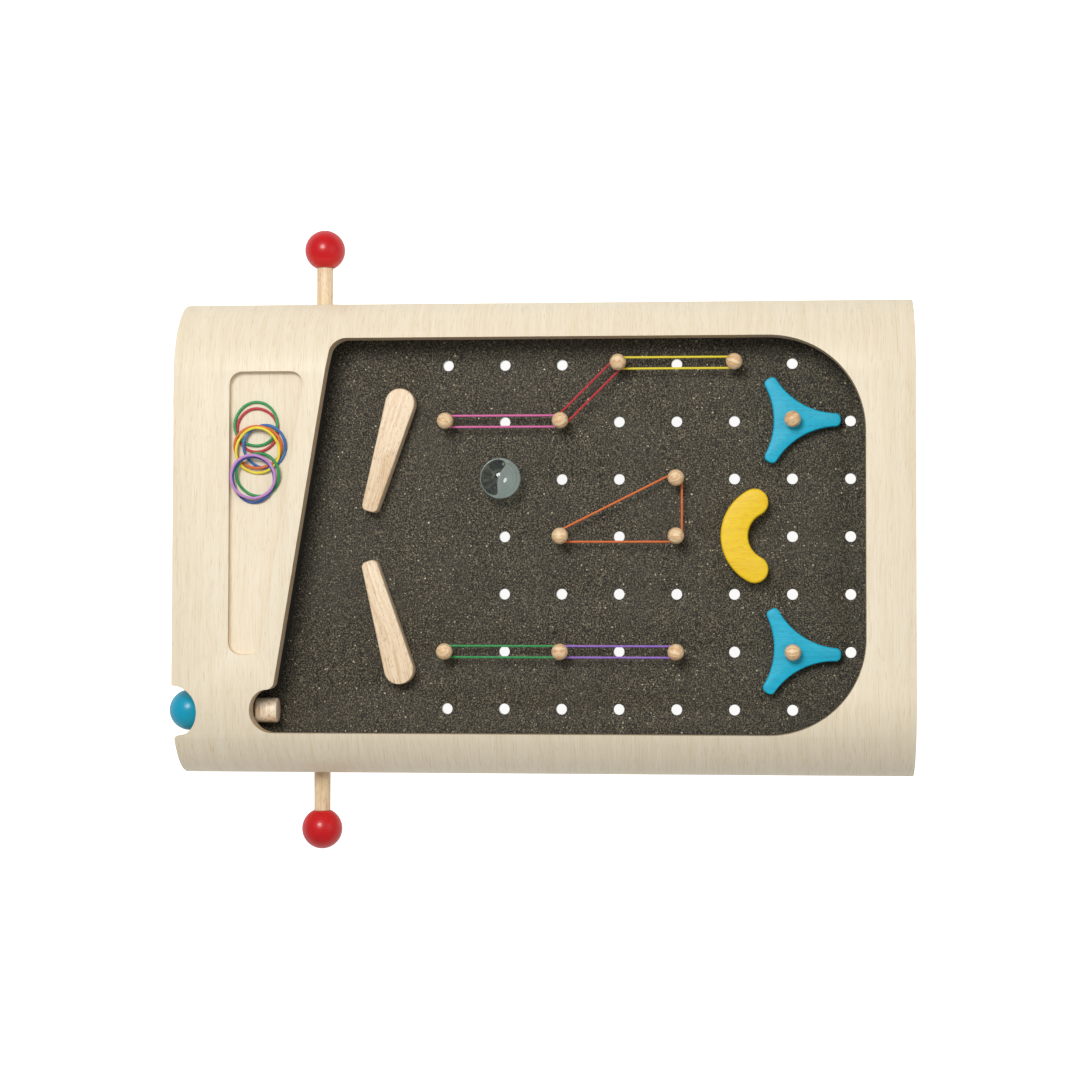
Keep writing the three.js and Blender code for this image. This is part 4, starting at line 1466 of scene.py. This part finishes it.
class PINBALL_OT_fixings(bpy.types.Operator):
    """Plug the fixings of the front panel in the cover's sides"""

    bl_idname = "pinball.fixings"
    bl_label = "Fixing Plugs"

    def execute(self, context):
        half_width = cover_sizes().half_width
        for name, side in PUSH_SIDES.items():
            plug = bar(PLUG.radius, half_width - PLUG.depth, half_width + PLUG.proud, 0.3)
            grain = along(V, scatter(70 + side))
            laid(plug, U * side, (0, PANEL.front + PANEL.thickness / 2, PLUG.height))
            placed(f"{name}_fixing_plug", plug, dowel_wood(), "root", grain=grain)
        return {"FINISHED"}


# ---------------------------------------------------------------- stage

CAMERA_PLACE = Vector((57.8, 73.8, 1578.6))
CAMERA_TARGET = Vector((2.0, -65.8, 0))
CAMERA_RIGHT = Vector((-0.0022, 0.9961, -0.088))
FIELD_LENS, SENSOR = 86.67, 36.0
GLOW, BOUNCED_GLOW = 0.92, 0.4  # the floor's own light, and the share of it that falls on the pieces


class PINBALL_OT_stage(bpy.types.Operator):
    """Set up the pale floor, the studio lights and the camera"""

    bl_idname = "pinball.stage"
    bl_label = "Stage"

    def execute(self, context):
        scene = context.scene
        bm = bmesh.new()
        bmesh.ops.create_grid(bm, x_segments=1, y_segments=1, size=4)
        mesh = bpy.data.meshes.new("floor")
        bm.to_mesh(mesh)
        bm.free()
        floor = bpy.data.objects.new("floor", mesh)
        scene.collection.objects.link(floor)
        # White paper on a light table: the faint glow shows through the playfield's holes.
        paper, tree, surface = finish_tree("white paper", roughness=0.9)
        surface.inputs["Base Color"].default_value = tone("EDEDED")
        surface.inputs["Emission Color"].default_value = (1, 1, 1, 1)
        path = add(tree, "ShaderNodeLightPath").outputs
        straight, bounced = (path["Is Camera Ray"], path["Is Transmission Ray"]), path["Is Diffuse Ray"]
        seen = add(tree, "ShaderNodeMath", {0: straight[0], 1: straight[1]}, operation="MAXIMUM")
        shares = {0: bounced, 1: BOUNCED_GLOW, 2: seen.outputs[0]}
        lit = add(tree, "ShaderNodeMath", shares, operation="MULTIPLY_ADD")
        glow = add(tree, "ShaderNodeMath", {0: lit.outputs[0], 1: GLOW}, operation="MULTIPLY")
        tree.links.new(glow.outputs[0], surface.inputs["Emission Strength"])
        floor.data.materials.append(paper)

        world = bpy.data.worlds.new("studio")
        world.use_nodes = True
        world.node_tree.nodes["Background"].inputs["Color"].default_value = (1, 1, 1, 1)
        world.node_tree.nodes["Background"].inputs["Strength"].default_value = 0.36
        scene.world = world

        look_at = Vector((0, 0, 0.08))
        for name, place, size, power in (
            ("key", (-0.7, -0.5, 1.95), 0.8, 28),
            ("fill", (-0.2, 1.4, 1.5), 1.6, 4),
        ):
            lamp = bpy.data.lights.new(name, "AREA")
            lamp.shape = "DISK"
            lamp.size = size
            lamp.energy = power
            holder = bpy.data.objects.new(name, lamp)
            holder.location = place
            holder.visible_transmission = False  # so that the marble doesn't sparkle
            holder.rotation_mode = "QUATERNION"
            holder.rotation_quaternion = (look_at - Vector(place)).to_track_quat("-Z", "Y")
            scene.collection.objects.link(holder)

        camera = bpy.data.cameras.new("camera")
        camera.sensor_width = SENSOR
        camera.lens = FIELD_LENS
        camera.clip_start, camera.clip_end = 0.05, 20
        view = bpy.data.objects.new("camera", camera)
        scene.collection.objects.link(view)
        back = (DECK.to_3x3() @ (CAMERA_PLACE - CAMERA_TARGET)).normalized()
        right = (DECK.to_3x3() @ CAMERA_RIGHT).normalized()
        up = back.cross(right).normalized()
        right = up.cross(back)
        turn = Matrix((right, up, back)).transposed().to_4x4()
        view.matrix_world = Matrix.Translation(DECK @ CAMERA_PLACE) @ turn
        scene.camera = view
        scene.view_settings.view_transform = "Standard"
        return {"FINISHED"}


# ---------------------------------------------------------------- panel and run

PIECE_OPERATORS = (
    PINBALL_OT_cover,
    PINBALL_OT_playfield,
    PINBALL_OT_panels,
    PINBALL_OT_walls,
    PINBALL_OT_plunger,
    PINBALL_OT_flippers,
    PINBALL_OT_push_rods,
    PINBALL_OT_pegs,
    PINBALL_OT_stretched_bands,
    PINBALL_OT_stars,
    PINBALL_OT_bean,
    PINBALL_OT_marble,
    PINBALL_OT_loose_bands,
    PINBALL_OT_fixings,
    PINBALL_OT_stage,
)


class PINBALL_PT_build(bpy.types.Panel):
    """Sizes, colours and the steps that build the game"""

    bl_idname = "PINBALL_PT_build"
    bl_label = "Tabletop Pinball"
    bl_space_type = "VIEW_3D"
    bl_region_type = "UI"
    bl_category = "Pinball"

    def draw(self, context):
        settings = context.scene.pinball
        for group in (settings.cover, settings.pieces, settings.colours):
            box = self.layout.box()
            for setting in group.bl_rna.properties:
                if setting.type == "FLOAT":
                    box.prop(group, setting.identifier)
        for step in PIECE_OPERATORS:
            self.layout.operator(step.bl_idname)


SETTINGS = (CoverSettings, PieceSettings, ColourSettings, PinballSettings)
CLASSES = (*SETTINGS, *PIECE_OPERATORS, PINBALL_PT_build)


def register():
    for cls in CLASSES:
        bpy.utils.register_class(cls)
    bpy.types.Scene.pinball = PointerProperty(type=PinballSettings)


def unregister():
    del bpy.types.Scene.pinball
    for cls in reversed(CLASSES):
        bpy.utils.unregister_class(cls)


def main():
    register()
    for step in PIECE_OPERATORS:
        group, name = step.bl_idname.split(".")
        getattr(getattr(bpy.ops, group), name)()


if __name__ == "__main__":
    main()
